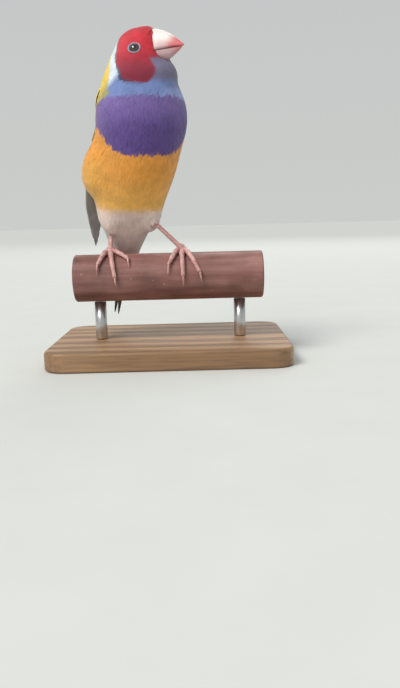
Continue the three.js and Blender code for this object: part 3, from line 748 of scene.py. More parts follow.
def makeCoat():
    t, turn = bodyFeathers()
    at = ringHit(t, turn)
    flow = unit(ringHit(np.maximum(t - coat["flowStep"], 0.05), turn) - at)  # feathers point tailwards
    out, _ = awayFromBody(at)
    keep = ~inBill(at) & ~inEye(at, -0.1)
    t, turn, at, flow, out = t[keep], turn[keep], at[keep], flow[keep], out[keep]
    aside = unit(np.cross(out, flow))
    sway = draws.normal(0, coat["sway"], len(t))[:, None]
    flow = unit(flow - out * (flow * out).sum(-1, keepdims=True) + aside * sway)
    lengths = coatValue("lengths", t) * draws.uniform(0.85, 1.15, len(t))
    halves = coatValue("halves", t) * draws.uniform(0.9, 1.12, len(t))
    depths = coatValue("depths", t)[:, None]
    along, widths = (np.array(v) for v in vaneShapes["small"])
    tips = coat["tipRise"] + coat["tipLift"] * draws.uniform(0.2, 1.8, len(t))[:, None]
    lift = -depths + (depths - coat["tipRise"]) * (1 - (1 - along) ** 3) + tips * along
    path = at[:, None] + flow[:, None] * (along[None, :] * lengths[:, None])[..., None]
    path = toGap(path, lift, 3)
    outs, _ = awayFromBody(path)
    straight = isStraight(path, outs, lengths)
    print(int((~straight).sum()), "folded feathers left out")
    t, turn, halves = t[straight], turn[straight], halves[straight]
    path, outs = path[straight], outs[straight]
    asides = unit(np.cross(outs, unit(np.gradient(path, axis=1))))
    colours = markings(lerp(path[:, 1], path[:, 4], 0.5), draws.normal(0, 0.2, len(t)))
    colours = colours * (1 + draws.uniform(-1, 1, (len(t), 1)) * coat["tone"])
    across, up = layoutPlace(t, turn)
    place = np.stack([across, np.clip(up, 0, 1)], -1) * (1 - 2 * layoutMargin) + layoutMargin
    material = featherMaterial("bodyPlumage", 9, shaft=0.12)
    for name, low, high, slotName in coatZones:
        chosen = (t >= low) & (t < high)
        points, faces, vane = blades(
            path[chosen], asides[chosen], outs[chosen], halves[chosen, None] * widths[None, :], "small",
            camber=coat["camber"], thickness=coat["thickness"], fray=coat["fray"])
        perFeather = len(points) // chosen.sum()
        # painted shade at each feather's root and painted light at its tip
        shade = coat["rootPaintedShade"] + (coat["tipPaintedLight"] - coat["rootPaintedShade"]) * vane[:, 1:]
        bright = np.repeat(colours[chosen], perFeather, 0) * shade
        piece = finishCoat(
            name, toWorld(points), faces, vane, bright, place[chosen], perFeather, material)
        around = perFeather // len(along)
        sides, normals = (np.repeat(v[chosen], around, 1).reshape(-1, 3) for v in (asides, outs))
        shadeWith(piece, points, normals + sides * (vane[:, :1] * 2 - 1) * coat["ownCurve"])
        triangles = sum(len(f) * (f.shape[1] - 2) for f in faces)
        print(name, int(chosen.sum()), "feathers,", triangles, "triangles")


# Wings

wing = {
    "shoulder": 0.14,  # how far above the wing's top its sheet reaches, as a share of its length
    "backEdge": [
        (7.2, 10.5, 76.5), (7.0, 13.0, 70.5), (3.4, 16.8, 60),
        (1.9, 19.4, 46), (2.1, 21.2, 30), (5.6, 22.8, 10),
    ],
    "leadingEdge": [
        (14.0, 1.0, 75), (15.6, 4.0, 68.5), (18.2, 7.4, 56),
        (18.3, 10.6, 43), (16.8, 14.4, 28), (14.2, 18.8, 11),
    ],
    "tuck": {1: 4.6, -1: 0.0},
    "clear": 0.45,
    "topSlope": (-0.13, 0.1),  # the rows sink into the body between these shares of the length
    "edgeSlope": (0.76, 1.03),  # and the coverts towards the leading edge between these of the width
    "edgeDrop": 0.97,
    "ragged": (0.009, 0.012),
    "ridge": 0.16,
    "edgeThick": 0.05,
    "thick": 0.16,
    "bladeColumns": 5,
    "arm": {"rows": 24, "columns": 16, "to": 0.52, "from": 0.08, "edge": 0.94, "under": 0.1},
}
primaryTips = [  # along and across the sheet, as shares of its length and width
    (0.78, 0.95), (0.84, 0.9), (0.9, 0.84), (0.95, 0.75), (0.93, 0.69), (0.9, 0.62),
    (0.86, 0.56), (0.82, 0.5), (0.78, 0.45),
]
wingRows = [
    {
        "kind": "primary", "count": 9, "half": 1.7, "height": 0.35, "tilt": 0.12,
        "from": [(0.16, 0.95), (0.24, 0.7)], "tips": primaryTips,
    },
    {
        "kind": "secondary", "count": 8, "half": 2.1, "height": 0.75, "tilt": 0.12,
        "from": [(0.26, 0.76), (0.26, 0.26)], "to": [(0.75, 0.64), (0.69, 0.25)],
    },
    {
        "kind": "tertial", "count": 3, "half": 2.7, "height": 1.15, "tilt": 0.1,
        "from": [(0.28, 0.28), (0.24, 0.12)], "to": [(0.73, 0.23), (0.56, 0.13)],
    },
    {
        "kind": "alula", "count": 4, "half": 1.6, "height": 0.95, "tilt": 0.12,
        "from": [(0.08, 0.95), (0.12, 0.8)], "to": [(0.44, 0.99), (0.47, 0.84)],
    },
    {
        "kind": "greater", "count": 11, "half": 1.5, "height": 1.25, "tilt": 0.12,
        "from": [(0.2, 0.8), (0.2, 0.1)], "to": [(0.47, 0.78), (0.43, 0.12)],
    },
    {
        "kind": "median", "count": 13, "half": 1.35, "height": 1.45, "tilt": 0.1,
        "from": [(0.1, 0.88), (0.12, 0.1)], "to": [(0.34, 0.9), (0.31, 0.12)],
    },
]
lesserRows = {
    "rows": 12,
    "coverts": 5,  # the rows above these are scapulars
    "count": 15,
    "half": 1.1,
    "height": 1.4,
    "lift": 0.03,
    "tilt": 0.05,
    "first": 0.24,
    "step": 0.027,
    "length": 0.09,
    "narrowFrom": 3,
    "narrowing": 0.32,
}


def addLesserRows():  # small coverts and scapulars, row by row up over the shoulder
    plan = lesserRows
    for i in range(plan["rows"]):
        tip = plan["first"] - i * plan["step"]
        root = max(tip - plan["length"], -wing["shoulder"] + 0.01)
        inset = plan["narrowing"] * max(0, (i - plan["narrowFrom"]) / 8) ** 1.5
        wingRows.append({
            "kind": "lesser" if i < plan["coverts"] else "scapular",
            "count": plan["count"] - (i % 2),
            "half": plan["half"],
            "height": plan["height"] + plan["lift"] * i,
            "tilt": plan["tilt"],
            "from": [(root, 1 - inset), (root, inset)],
            "to": [(tip, 1.03 - inset * 0.6), (tip, inset * 0.6 - 0.03)],
        })


wingColours = {
    "primary": linear(176, 166, 168),
    "secondary": linear(178, 170, 160),
    "tertial": linear(186, 180, 150),
    "alula": linear(166, 160, 140),
    "greater": linear(190, 184, 142),
    "median": linear(196, 190, 140),
    "lesser": linear(200, 192, 138),
}


def onWing(side, along, across):  # a point of the folded wing's sheet, and the sheet's width there
    rows = len(wing["backEdge"]) - 2
    t = np.where(along < 0, 1 + along / wing["shoulder"], 1 + along * rows)
    a, b = lineThrough(wing["backEdge"], t), lineThrough(wing["leadingEdge"], t)
    p = a + (b - a) * across[..., None]
    tuck = wing["tuck"][side] * np.maximum(along, 0) * lerp(0.35, 1.0, across)
    p = np.stack([(p[..., 0] - tuck) * side, p[..., 1], p[..., 2]], -1)
    for _ in range(5):
        short = wing["clear"] - gapToBody(p)
        way, slope = awayFromBody(p)
        p = p + way * np.where(short > 0, short / np.maximum(slope, gentlest), 0)[..., None]
    return p, np.linalg.norm(b - a, axis=-1)


def offWing(side, along, across, height):  # a point above the sheet, and the way out from it
    step = 0.02
    at, _ = onWing(side, along, across)
    down = onWing(side, along + step, across)[0] - onWing(side, along - step, across)[0]
    over = onWing(side, along, across + step)[0] - onWing(side, along, across - step)[0]
    out = unit(np.cross(over, down)) * side
    return at + out * height[..., None], out


def wingBlades(side, row):  # one row of wing feathers, laid on the sheet
    kind, count = row["kind"], row["count"]
    shape = "flight" if kind in ("primary", "secondary", "tertial") else "round"
    along, widths = (np.array(v) for v in vaneShapes[shape])
    share = np.linspace(0, 1, count)[:, None]
    start = lerp(np.array(row["from"][0]), np.array(row["from"][1]), share)
    if "tips" in row:
        end = np.array(row["tips"])
    else:
        end = lerp(np.array(row["to"][0]), np.array(row["to"][1]), share)
        end = end + draws.uniform(-1, 1, end.shape) * wing["ragged"]
    path = start[:, None] + (end - start)[:, None] * along[None, :, None]
    columns = np.linspace(-1, 1, wing["bladeColumns"])
    _, width = onWing(side, path[..., 0], path[..., 1])
    half = row["half"] * widths[None, :]
    reach = columns[None, None, :] * (half / width)[..., None]
    a, b = np.broadcast_arrays(path[..., 0:1], path[..., 1:2] + reach)
    slope = smooth(*wing["topSlope"], a)
    if shape == "round":
        slope = slope * (1 - wing["edgeDrop"] * smooth(*wing["edgeSlope"], b))
    rise = row["height"] * slope + row["tilt"] * columns[None, None, :] * half[..., None]
    inner = 1 - np.abs(columns)
    top, out = offWing(side, a, b, rise + wing["ridge"] * inner ** 1.5)
    under = top - out * (wing["edgeThick"] + wing["thick"] * inner ** 1.2)[None, None, :, None]
    ring = np.concatenate([top, under[:, :, ::-1]], 2)
    lower = range(ring.shape[2] - 1, len(columns) - 1, -1)
    across = np.concatenate([columns, columns[::-1]]) * 0.5 + 0.5
    points, faces, vane = bladeMesh(ring, lower, across, along)
    tone = draws.uniform(0.94, 1.06, (count, 1))
    if kind == "scapular":  # takes on the back's own colour towards the shoulder
        own = markings(np.clip(top[:, len(along) // 2, 2], [-99, 6, 0], [99, 99, 99]))
        colour = lerp(wingColours["lesser"], own, smooth(0.14, 0.0, end[:, :1])) * tone
    else:
        colour = wingColours[kind] * tone
    perFeather = len(points) // count
    colours = np.repeat(colour, perFeather, 0)
    if kind in ("primary", "secondary"):
        colours = colours * (1.05 - 0.25 * smooth(0.4, 1.0, vane[:, 1:]))
    return points, faces, vane, colours, np.repeat(start * 0.8 + 0.1, perFeather, 0)


def wingArm(side):  # the closed core that the wing's feathers lie on
    arm = wing["arm"]
    along = np.linspace(0.0, arm["to"], arm["rows"])[:, None]
    rounded = smooth(-0.02, 0.2, along)
    across = np.linspace(arm["from"], arm["edge"], arm["columns"])[None, :]
    a, b = np.broadcast_arrays(along, 0.5 + (across - 0.5) * lerp(0.7, 1.0, rounded))
    edge = 1 - np.abs(2 * np.linspace(0, 1, arm["columns"])[None, :] - 1) ** 4
    thick = (0.2 + lerp(1.0, 0.5, smooth(0.1, 0.5, a)) * edge) * lerp(0.4, 1.0, rounded)
    top, _ = offWing(side, a, b, thick)
    under, _ = offWing(side, a, b, np.full(a.shape, arm["under"]))
    return closedRings(np.concatenate([top, under[:, ::-1]], 1))


def makeWing(side, name):
    made = [wingBlades(side, row) for row in wingRows]
    made.append(corePart(*wingArm(side), wingColours["median"]))
    material = featherMaterial(name + "Plumage", 34, paleEdge=0.55, shaft=0.5, sheen=0.15)
    piece = joinFeathers(name + "_feathers", made, material)
    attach(piece, "root")
    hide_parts(name)


# Tail

tail = {
    "root": (0.0, 17.4, 5.5),
    "tilt": math.radians(25),
    "feathers": [
        {"length": 28, "half": 1.7, "spread": 0.9, "back": 0.9, "shape": "long"},
        {"length": 19.5, "half": 2.0, "spread": 2.6, "back": 0.55, "shape": "flight"},
        {"length": 18, "half": 2.0, "spread": 4.6, "back": 0.2, "shape": "flight"},
        {"length": 16.5, "half": 2.0, "spread": 6.8, "back": -0.15, "shape": "flight"},
        {"length": 15, "half": 1.9, "spread": 9.0, "back": -0.5, "shape": "flight"},
        {"length": 13.5, "half": 1.8, "spread": 11.2, "back": -0.85, "shape": "flight"},
    ],
    # length, how far back, lean in degrees
    "coverts": [(9.5, 1.6, -4), (7.0, 1.9, -3), (11, -1.7, 4), (8.5, -2.0, 4)],
    "covertHalf": 1.3,
    "covertStep": 0.95,
    # place, half width, half thickness
    "core": [(-1.2, 3.2, 1.9), (2, 3.4, 1.7), (5, 3.0, 1.1), (7, 2.2, 0.5)],
    "leftShorter": 1.2,
    "colour": linear(112, 108, 104),
    # the tail feathers blend to this dark olive at their tips: painted shadow
    "tipShadowColour": linear(78, 78, 62),
    "covertColour": linear(206, 204, 200),
}


def offTail(down, over, back):  # a point by its way down the tail, to the bird's left and towards its back
    x, y, z = tail["root"]
    sine, cosine = math.sin(tail["tilt"]), math.cos(tail["tilt"])
    return np.stack([x + over, y + down * sine + back * cosine, z - down * cosine + back * sine], -1)


def tailBlades(down, over, back, half, shape):  # one blade along a middle line
    middles = offTail(down, over, back)[None]
    aside = np.broadcast_to(np.array([1.0, 0, 0]), middles.shape)
    out = np.broadcast_to(offTail(0.0, 0.0, 1.0) - offTail(0.0, 0.0, 0.0), middles.shape)
    widths = half * np.array(vaneShapes[shape][1])[None]
    return blades(middles, aside, out, widths, shape, camber=0.3, thickness=0.22, columns=5)


def makeTail():
    made = []

    def add(blade, colour, tip, root):
        points, faces, vane = blade
        # each blade blends to its tip colour; on the tail feathers that is painted shadow
        colours = lerp(colour, tip, smooth(0.45, 1.0, vane[:, 1:]))
        made.append((points, faces, vane, colours, np.tile(root, (len(points), 1))))

    for i, plan in enumerate(tail["feathers"]):
        along = np.array(vaneShapes[plan["shape"]][0])
        angle = math.radians(plan["spread"])
        for side in (1, -1):
            length = plan["length"] - (tail["leftShorter"] if side < 0 else 0)
            down = along * length * math.cos(angle)
            over = side * (along * length * math.sin(angle) + 0.5)
            back = np.full(len(along), plan["back"] + 0.06 * side)
            tone = draws.uniform(0.93, 1.07)
            add(tailBlades(down, over, back, plan["half"], plan["shape"]), tail["colour"] * tone,
                tail["tipShadowColour"] * tone, (0.5 + side * (0.03 + 0.03 * i), 0.1))
    along = np.array(vaneShapes["round"][0])
    for level, (length, back, lean) in enumerate(tail["coverts"]):
        for i in range(-3, 4):
            reach = length * (1 - 0.06 * abs(i)) * draws.uniform(0.95, 1.05)
            down = along * reach - 1.0
            over = i * tail["covertStep"] * (1 + 0.25 * along)
            rise = back * (1 - 0.06 * i * i) + math.radians(lean) * down
            add(tailBlades(down, over, rise, tail["covertHalf"], "round"),
                tail["covertColour"] * draws.uniform(0.94, 1.04), tail["covertColour"],
                (0.3 + 0.06 * i, 0.3 + 0.1 * level))
    turn = np.linspace(0, 2 * math.pi, 20, endpoint=False)
    core = np.stack([
        offTail(np.full(len(turn), down), half * np.cos(turn), thick * np.sin(turn))
        for down, half, thick in tail["core"]])
    made.append(corePart(*closedRings(core), tail["covertColour"]))
    material = featherMaterial("tailPlumage", 40, paleEdge=0.25, shaft=0.5, sheen=0.15)
    piece = joinFeathers("tail_feathers", made, material)
    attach(piece, "root")
    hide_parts("tail")


# Bill

bill = {
    "from": 5.0,
    "root": 8.3,
    "tip": 21.6,
    "top": 98.8,
    "drop": 7.9,
    "half": 5.1,
    "gape": 88.9,
    "gapeRise": 1.5,
    "chin": 84.8,
    "gonysRise": 5.4,
    "lowerShort": 0.7,
    "gap": 0.3,
    "nostril": 9.6,
    "nostrilRadius": 0.5,
    "nostrilDepth": 0.5,
    "rings": 44,
    "arcPoints": 29,
    "flatPoints": 8,
    "ivory": (0.80, 0.72, 0.68),
    "pink": (0.60, 0.34, 0.36),
    "red": (0.60, 0.10, 0.11),
}


def billAt(ahead):  # half width, top, gape, bottom, and the lower bill's half width
    reach = ahead - bill["from"]
    along = np.clip(reach / (bill["tip"] - bill["from"]), 0, 1)
    lower = np.clip(reach / (bill["tip"] - bill["lowerShort"] - bill["from"]), 0, 1)
    return (
        bill["half"] * (1 - along ** 1.55) + 0.25,
        bill["top"] - bill["drop"] * along ** 1.9 + 0.12,
        bill["gape"] + bill["gapeRise"] * along ** 0.8,
        bill["chin"] + bill["gonysRise"] * lower ** 2.2 - 0.12,
        (bill["half"] - 0.35) * (1 - lower ** 1.45) + 0.2,
    )


def billRings(upper):
    rings = []
    end = bill["tip"] if upper else bill["tip"] - bill["lowerShort"]
    turn = np.linspace(0, math.pi, bill["arcPoints"])
    inner = np.linspace(-1, 1, bill["flatPoints"] + 2)[1:-1]
    for ahead in bill["root"] + (end - bill["root"]) * np.linspace(0, 1, bill["rings"]) ** 0.85:
        half, top, gape, bottom, lowerHalf = billAt(ahead)
        wide, peak = (half, top) if upper else (lowerHalf, bottom)
        edge = gape + (bill["gap"] / 2 if upper else -bill["gap"] / 2)
        arc = np.stack([wide * np.cos(turn), edge + (peak - edge) * np.sin(turn) ** 0.85], -1)
        flat = np.stack([wide * inner, np.full(len(inner), edge)], -1)
        cut = np.concatenate([arc, flat])
        rings.append(np.stack([cut[:, 0], np.full(len(cut), stance["neckBack"] - ahead), cut[:, 1]], -1))
    rings = np.array(rings)
    if upper:  # the nostrils are dents near the root
        half, top, gape, _, _ = billAt(bill["nostril"])
        back = stance["neckBack"] - bill["nostril"]
        for side in (1, -1):
            hole = np.array([side * half * 0.62, back, lerp(gape, top, 0.78)])
            away = np.linalg.norm(rings - hole, axis=-1)
            rings[..., 2] -= bill["nostrilDepth"] * np.exp(-((away / bill["nostrilRadius"]) ** 2))
            rings[..., 0] -= side * 0.3 * np.exp(-((away / bill["nostrilRadius"]) ** 2))
    return rings


def billMaterial():
    material, tree, shader = newMaterial("billHorn")
    grain = noise(tree, placeOf(tree), 1400, 4, stretch=(0.4, 0.4, 1.0))
    colour = tinted(tree, paintOf(tree, "horn"), ramp(tree, grain, [(0.3, 0.88), (0.7, 1.06)]))
    link(tree, colour, shader.inputs["Base Color"])
    link(tree, ramp(tree, grain, [(0.3, 0.36), (0.7, 0.5)]), shader.inputs["Roughness"])
    setSockets(shader, {
        "Subsurface Weight": 0.12,
        "Subsurface Scale": 0.002,
        "Subsurface Radius": (1.0, 0.4, 0.3),
    })
    bump(tree, shader, grain, 0.2, 0.00006)
    return material


def billColour(points, upper):  # ivory at the root, pink below and red at the tip
    ivory, pink, red = (np.array(bill[k]) for k in ("ivory", "pink", "red"))
    ahead = stance["neckBack"] - points[:, 1]
    _, top, gape, _, _ = billAt(ahead)
    height = np.clip((points[:, 2] - gape) / np.maximum(top - gape, 0.3), -1, 1)
    if upper:
        pinkish = smooth(0.75, 0.15, height) * smooth(8, 14, ahead) * 0.8
        tipped = smooth(15.2, 19.6, ahead + 2.0 * (1 - height)) * 0.92
    else:
        # the lower bill is pinker, its own colour, and painted darker by 0.86 as shade under the upper bill
        pink = pink * 0.86
        pinkish = np.full(len(ahead), 0.9) * 0.92
        tipped = smooth(15.5, 21, ahead) * 0.7
    colour = lerp(np.broadcast_to(ivory, points.shape), pink, pinkish[:, None])
    return lerp(colour, red, tipped[:, None])


def makeBill():
    material = billMaterial()
    for upper, name in ((True, "bill_upper"), (False, "bill_lower")):
        points, faces = closedRings(billRings(upper))
        piece = meshOf(name + "_horn", toWorld(points), faces)
        addColours(piece, billColour(points, upper), "horn")
        piece.data.materials.append(material)
        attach(piece, "root")
        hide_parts(name)


# Eyes and lids

eye = {
    "at": (8.5, -5.2, 89.6),
    "radius": 2.6,
    "sink": 1.75,
    "pupil": (1.25, 1.05),
    "irisDark": (1.2, 2.2),
    "irisColours": [(0.055, 0.022, 0.012), (0.012, 0.006, 0.004)],
    "pupilColour": (0.002, 0.002, 0.002),
    "ballRings": 40,
    "ballPoints": 48,
    "lid": 2.1,
    "lidThick": 0.3,
    "lidSink": 0.25,
    "lidRings": 64,
    "lidPoints": 14,
}


def eyePlace(side):  # the eye's place on the face, and the way out of it
    x, y, z = eye["at"]
    onSkin = toGap(np.array([[x * side, y, z]]), np.zeros(1), 8)
    out, _ = awayFromBody(onSkin)
    return onSkin[0], out[0]


def eyeMaterial():
    material, tree, shader = newMaterial("eyeGlass")
    link(tree, paintOf(tree, "iris"), shader.inputs["Base Color"])
    film = noise(tree, placeOf(tree), 900, 2)
    link(tree, ramp(tree, film, [(0.3, 0.04), (0.7, 0.1)]), shader.inputs["Roughness"])
    setSockets(shader, {"Coat Weight": 1.0, "Coat Roughness": 0.03})
    return material


def beadsOf(tree, scale):  # small rounded cells, for bare skin
    beads = node(tree, "TexVoronoi", {"Scale": scale})
    link(tree, placeOf(tree), beads.inputs["Vector"])
    return beads.outputs["Distance"]


def lidMaterial():
    material, tree, shader = newMaterial("lidSkin")
    beads = beadsOf(tree, 3200)
    colour = ramp(tree, beads, [(0.0, (0.40, 0.44, 0.54)), (0.7, (0.20, 0.22, 0.30))])
    link(tree, colour, shader.inputs["Base Color"])
    shader.inputs["Roughness"].default_value = 0.55
    bump(tree, shader, beads, 0.5, 0.0001)
    return material


def fullTurn(points):
    return np.linspace(0, 2 * math.pi, points, endpoint=False)


def makeBall(name, middle, u, v, out, material):
    tilt = np.linspace(0.02, math.pi - 0.02, eye["ballRings"])[:, None]
    turn = fullTurn(eye["ballPoints"])[None]
    bulge = eye["radius"] * (1 + 0.03 * np.exp(-((tilt / 0.5) ** 2)))
    rings = middle + bulge[..., None] * (
        np.sin(tilt)[..., None] * (np.cos(turn)[..., None] * u + np.sin(turn)[..., None] * v)
        + np.cos(tilt)[..., None] * out)
    points, faces = closedRings(rings)
    away = np.linalg.norm(np.cross(points - middle, out), axis=-1)
    inner, outer = (np.array(c) for c in eye["irisColours"])
    iris = lerp(inner, outer, smooth(*eye["irisDark"], away)[:, None])
    colour = lerp(iris, np.array(eye["pupilColour"]), smooth(*eye["pupil"], away)[:, None])
    ball = meshOf(name + "_ball", toWorld(points), faces)
    addColours(ball, colour, "iris")
    ball.data.materials.append(material)
    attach(ball, "root")
    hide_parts(name)


def makeLid(name, onSkin, u, v, out, material):  # the bare ring round the eye
    rings = []
    around = fullTurn(eye["lidPoints"])[:, None]
    for angle in fullTurn(eye["lidRings"]):
        spoke = math.cos(angle) * u + math.sin(angle) * v
        spot = onSkin + spoke * eye["lid"] * (1 + 0.08 * abs(math.cos(angle))) - out * eye["lidSink"]
        wide = eye["lidThick"] * (1.15 + 0.25 * math.sin(angle))
        rings.append(spot + wide * (np.cos(around) * spoke + np.sin(around) * 1.15 * out))
    points = np.array(rings).reshape(-1, 3)
    faces = gridFaces(eye["lidRings"] + 1, eye["lidPoints"]) % len(points)
    lid = meshOf(name + "_lids", toWorld(points), faces[:, ::-1])
    lid.data.materials.append(material)
    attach(lid, "root")


def makeEyes():
    glass, lidSkin = eyeMaterial(), lidMaterial()
    for side, name in ((1, "eye_left"), (-1, "eye_right")):
        onSkin, out = eyePlace(side)
        u = unit(np.cross(out, [0, 0, 1.0]))
        v = np.cross(u, out)
        makeBall(name, onSkin - out * eye["sink"], u, v, out, glass)
        makeLid(name, onSkin, u, v, out, lidSkin)


# Legs and feet, measured from the perch's axis

legPlan = {
    "left": {"knee": (4.4, 2.6, 28.5), "ankle": (6.0, 0.4, 23.4), "foot": (17.6, -1.2, 12.0)},
    "right": {"knee": (-11.2, 4.6, 29), "ankle": (-12.0, 6.0, 23.4), "foot": (-12.6, -0.8, 12.0)},
    "thigh": 2.6,
    "shin": 2.0,
    "shank": 0.95,
    "ankleRadius": 1.45,
    "toe": 1.05,
    "pad": 1.7,
    "claw": 0.62,
    "clawTip": 0.1,
    "clawRound": 26,
    "scute": 0.05,
}
toePlan = {  # how far each toe goes aside, how many degrees round the perch, and where it starts
    "left": [(6.6, 78, 1.0), (0.6, 86, 0.1), (-4.2, 58, -0.9), (-0.8, -66, 0)],
    "right": [(-3.6, 56, -0.9), (2.6, 86, 0), (6.8, 40, 0.9), (0.6, -66, 0)],
}
trousers = {
    "tiers": 10,
    "around": 20,
    "from": -0.6,
    "to": 0.72,
    "length": 3.6,
    "wide": 3.7,
    "narrow": 1.55,
    "half": 0.62,
}
perch = {"radius": 10.0, "length": 80.0, "middle": 12.0, "bevel": 0.8, "gap": 0.3}


# Rings along a path; front is an extra height on the front half of each ring
def tubeAlong(path, radii, sides, front=None):
    way = unit(np.gradient(path, axis=0))
    u = unit(np.array([1.0, 0, 0]) - way * way[:, 0:1])
    v = np.cross(way, u)
    turn = fullTurn(sides)
    swell = radii[:, None] * np.ones(sides)[None]
    if front is not None:
        swell = swell + front[:, None] * (0.5 + 0.5 * np.sin(turn))[None]
    return path[:, None] + swell[..., None] * (
        np.cos(turn)[None, :, None] * u[:, None] + np.sin(turn)[None, :, None] * v[:, None])


def aroundPerch(x, degrees, out):
    turn = np.radians(degrees)
    return np.stack([x, -np.sin(turn) * out, np.cos(turn) * out], -1)


def footParts(side):  # four toes with their claws, and the pad that they meet in
    x0, y0, _ = legPlan[side]["foot"]
    grip = perch["radius"] + perch["gap"]
    parts = []
    for aside, degrees, start in toePlan[side]:
        share = np.linspace(0, 1, 40)
        joints = 0.1 * np.cos(share * 6 * math.pi) * (1 - 0.4 * share)
        radius = legPlan["toe"] * lerp(1.08, 0.74, share) * (1 + joints)
        x = x0 + start + aside * share ** 1.1
        path = aroundPerch(x, lerp(2, degrees, share), grip + radius + 0.05)
        scutes = legPlan["scute"] * np.abs(np.sin(share * 17 * math.pi)) ** 0.5
        parts.append(closedRings(tubeAlong(path, radius - 0.03 + scutes, 18)))
        share = np.linspace(0, 1, 18)
        way = np.sign(degrees)
        x = x0 + start + aside * (1 + 0.12 * share)
        hump = grip + 0.85 + 0.55 * np.sin(math.pi * share) - 0.55 * share
        path = aroundPerch(x, degrees - way * 3 + way * legPlan["clawRound"] * share, hump)
        parts.append(closedRings(tubeAlong(path, lerp(legPlan["claw"], legPlan["clawTip"], share), 12)))
    tilt = np.linspace(0.05, math.pi - 0.05, 24)[:, None]
    turn = fullTurn(28)[None]
    ball = np.stack([np.sin(tilt) * np.cos(turn), np.sin(tilt) * np.sin(turn), np.cos(tilt + 0 * turn)], -1)
    pad = np.array([x0, y0 + 0.9, grip + legPlan["pad"] + 0.05])
    parts.append(closedRings(pad + legPlan["pad"] * ball))
    return parts


def makeTrousers():  # short feathers down over each leg to its ankle
    along, widths = (np.array(v) for v in vaneShapes["small"])
    for side in ("left", "right"):
        knee, ankle = (np.array(legPlan[side][k]) for k in ("knee", "ankle"))
        axis = unit(ankle - knee)
        u = unit(np.cross(axis, [0, 0, 1.0]))
        v = np.cross(axis, u)
        reach = np.linalg.norm(ankle - knee)
        middles, outs, halves, shades = [], [], [], []
        for tier in range(trousers["tiers"]):
            start = lerp(trousers["from"], trousers["to"], tier / (trousers["tiers"] - 1)) * reach
            for k in range(trousers["around"]):
                turn = (k + 0.5 * (tier % 2)) / trousers["around"] * 2 * math.pi + draws.uniform(-0.1, 0.1)
                out = math.cos(turn) * u + math.sin(turn) * v
                down = start + along * trousers["length"] * draws.uniform(0.85, 1.15)
                wide = lerp(trousers["wide"], trousers["narrow"], smooth(-0.2, 1.15, down / reach))
                middles.append(knee + axis * down[:, None] + out * (wide - 0.3 * (1 - along))[:, None])
                outs.append(np.tile(out, (len(along), 1)))
                halves.append(trousers["half"] * widths)
                golden = 0.5 * smooth(0.5, -0.2, start / reach)
                shades.append(lerp(plumage["vent"], plumage["gold"], golden))
        middles, outs = np.array(middles), np.array(outs)
        asides = unit(np.cross(outs, axis))
        points, faces, vane = blades(
            middles, asides, outs, np.array(halves), "small", camber=0.1, thickness=0.05, fray=coat["fray"])
        around = 4  # points round a blade
        perFeather = len(along) * around
        # each feather painted darker at its root and a little lighter at its tip: painted shade and painted
        # light
        colours = np.repeat(np.array(shades), perFeather, 0) * lerp(0.88, 1.02, vane[:, 1:])
        roots = np.tile([0.5 + 0.1 * (side == "left"), 0.2], (len(middles), 1))
        material = bpy.data.materials["bodyPlumage"]
        piece = finishCoat(
            "coat_thigh_" + side, points + birdShift, faces, vane, colours, roots, perFeather, material)
        piece.data.normals_split_custom_set_from_vertices(np.repeat(outs, around, 1).reshape(-1, 3))


def legMaterial():
    material, tree, shader = newMaterial("legScales")
    scales = beadsOf(tree, 1100)
    dust = noise(tree, placeOf(tree), 300, 4)
    skin = ramp(tree, dust, [(0.3, (0.50, 0.24, 0.22)), (0.7, (0.72, 0.44, 0.40))])
    gaps = ramp(tree, scales, [(0.2, 1.05), (0.75, 0.72)])
    link(tree, tinted(tree, skin, gaps), shader.inputs["Base Color"])
    setSockets(shader, {"Roughness": 0.55, "Subsurface Weight": 0.1, "Subsurface Scale": 0.001})
    bump(tree, shader, scales, 0.35, 0.0001)
    return material


def makeLegs():
    material = legMaterial()
    for side in ("left", "right"):
        knee, ankle, foot = (np.array(legPlan[side][k]) for k in ("knee", "ankle", "foot"))
        shank = legPlan["shank"]
        rows = np.array([
            (*knee, legPlan["thigh"]),
            (*lerp(knee, ankle, 0.6), legPlan["shin"]),
            (*ankle, legPlan["ankleRadius"]),
            (*lerp(ankle, foot, 0.14), shank * 1.05),
            (*lerp(ankle, foot, 0.5), shank),
            (*lerp(ankle, foot, 0.84), shank * 1.05),
            (*foot, shank * 1.3),
        ])
        t = np.linspace(0, len(rows) - 1, 90)
        line = lineThrough(rows, t)
        scutes = legPlan["scute"] * np.abs(np.sin(t * 3.2 * math.pi)) ** 0.5 * smooth(1.9, 2.4, t)
        points, faces = closedRings(tubeAlong(line[:, :3], line[:, 3] - 0.02, 20, scutes))
        shin = meshOf("leg_" + side + "_shank", points + birdShift, faces)
        points, faces = joinParts(footParts(side))
        toes = meshOf("foot_" + side + "_toes", points + birdShift, faces)
        for piece, name in ((shin, "leg_" + side), (toes, "foot_" + side)):
            piece.data.materials.append(material)
            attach(piece, "root")
            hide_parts(name)


# Perch and stand

stand = {
    "length": 100.0,
    "depth": 76.0,
    "thickness": 8.0,
    "corner": 9.0,
    "bevel": 1.2,
    "rod": 2.5,
    "rodBevel": 0.15,
    "perchColours": [(0.10, 0.040, 0.034), (0.22, 0.095, 0.080), (0.34, 0.19, 0.165)],
    "baseColours": [(0.25, 0.14, 0.07), (0.42, 0.25, 0.13)],
}


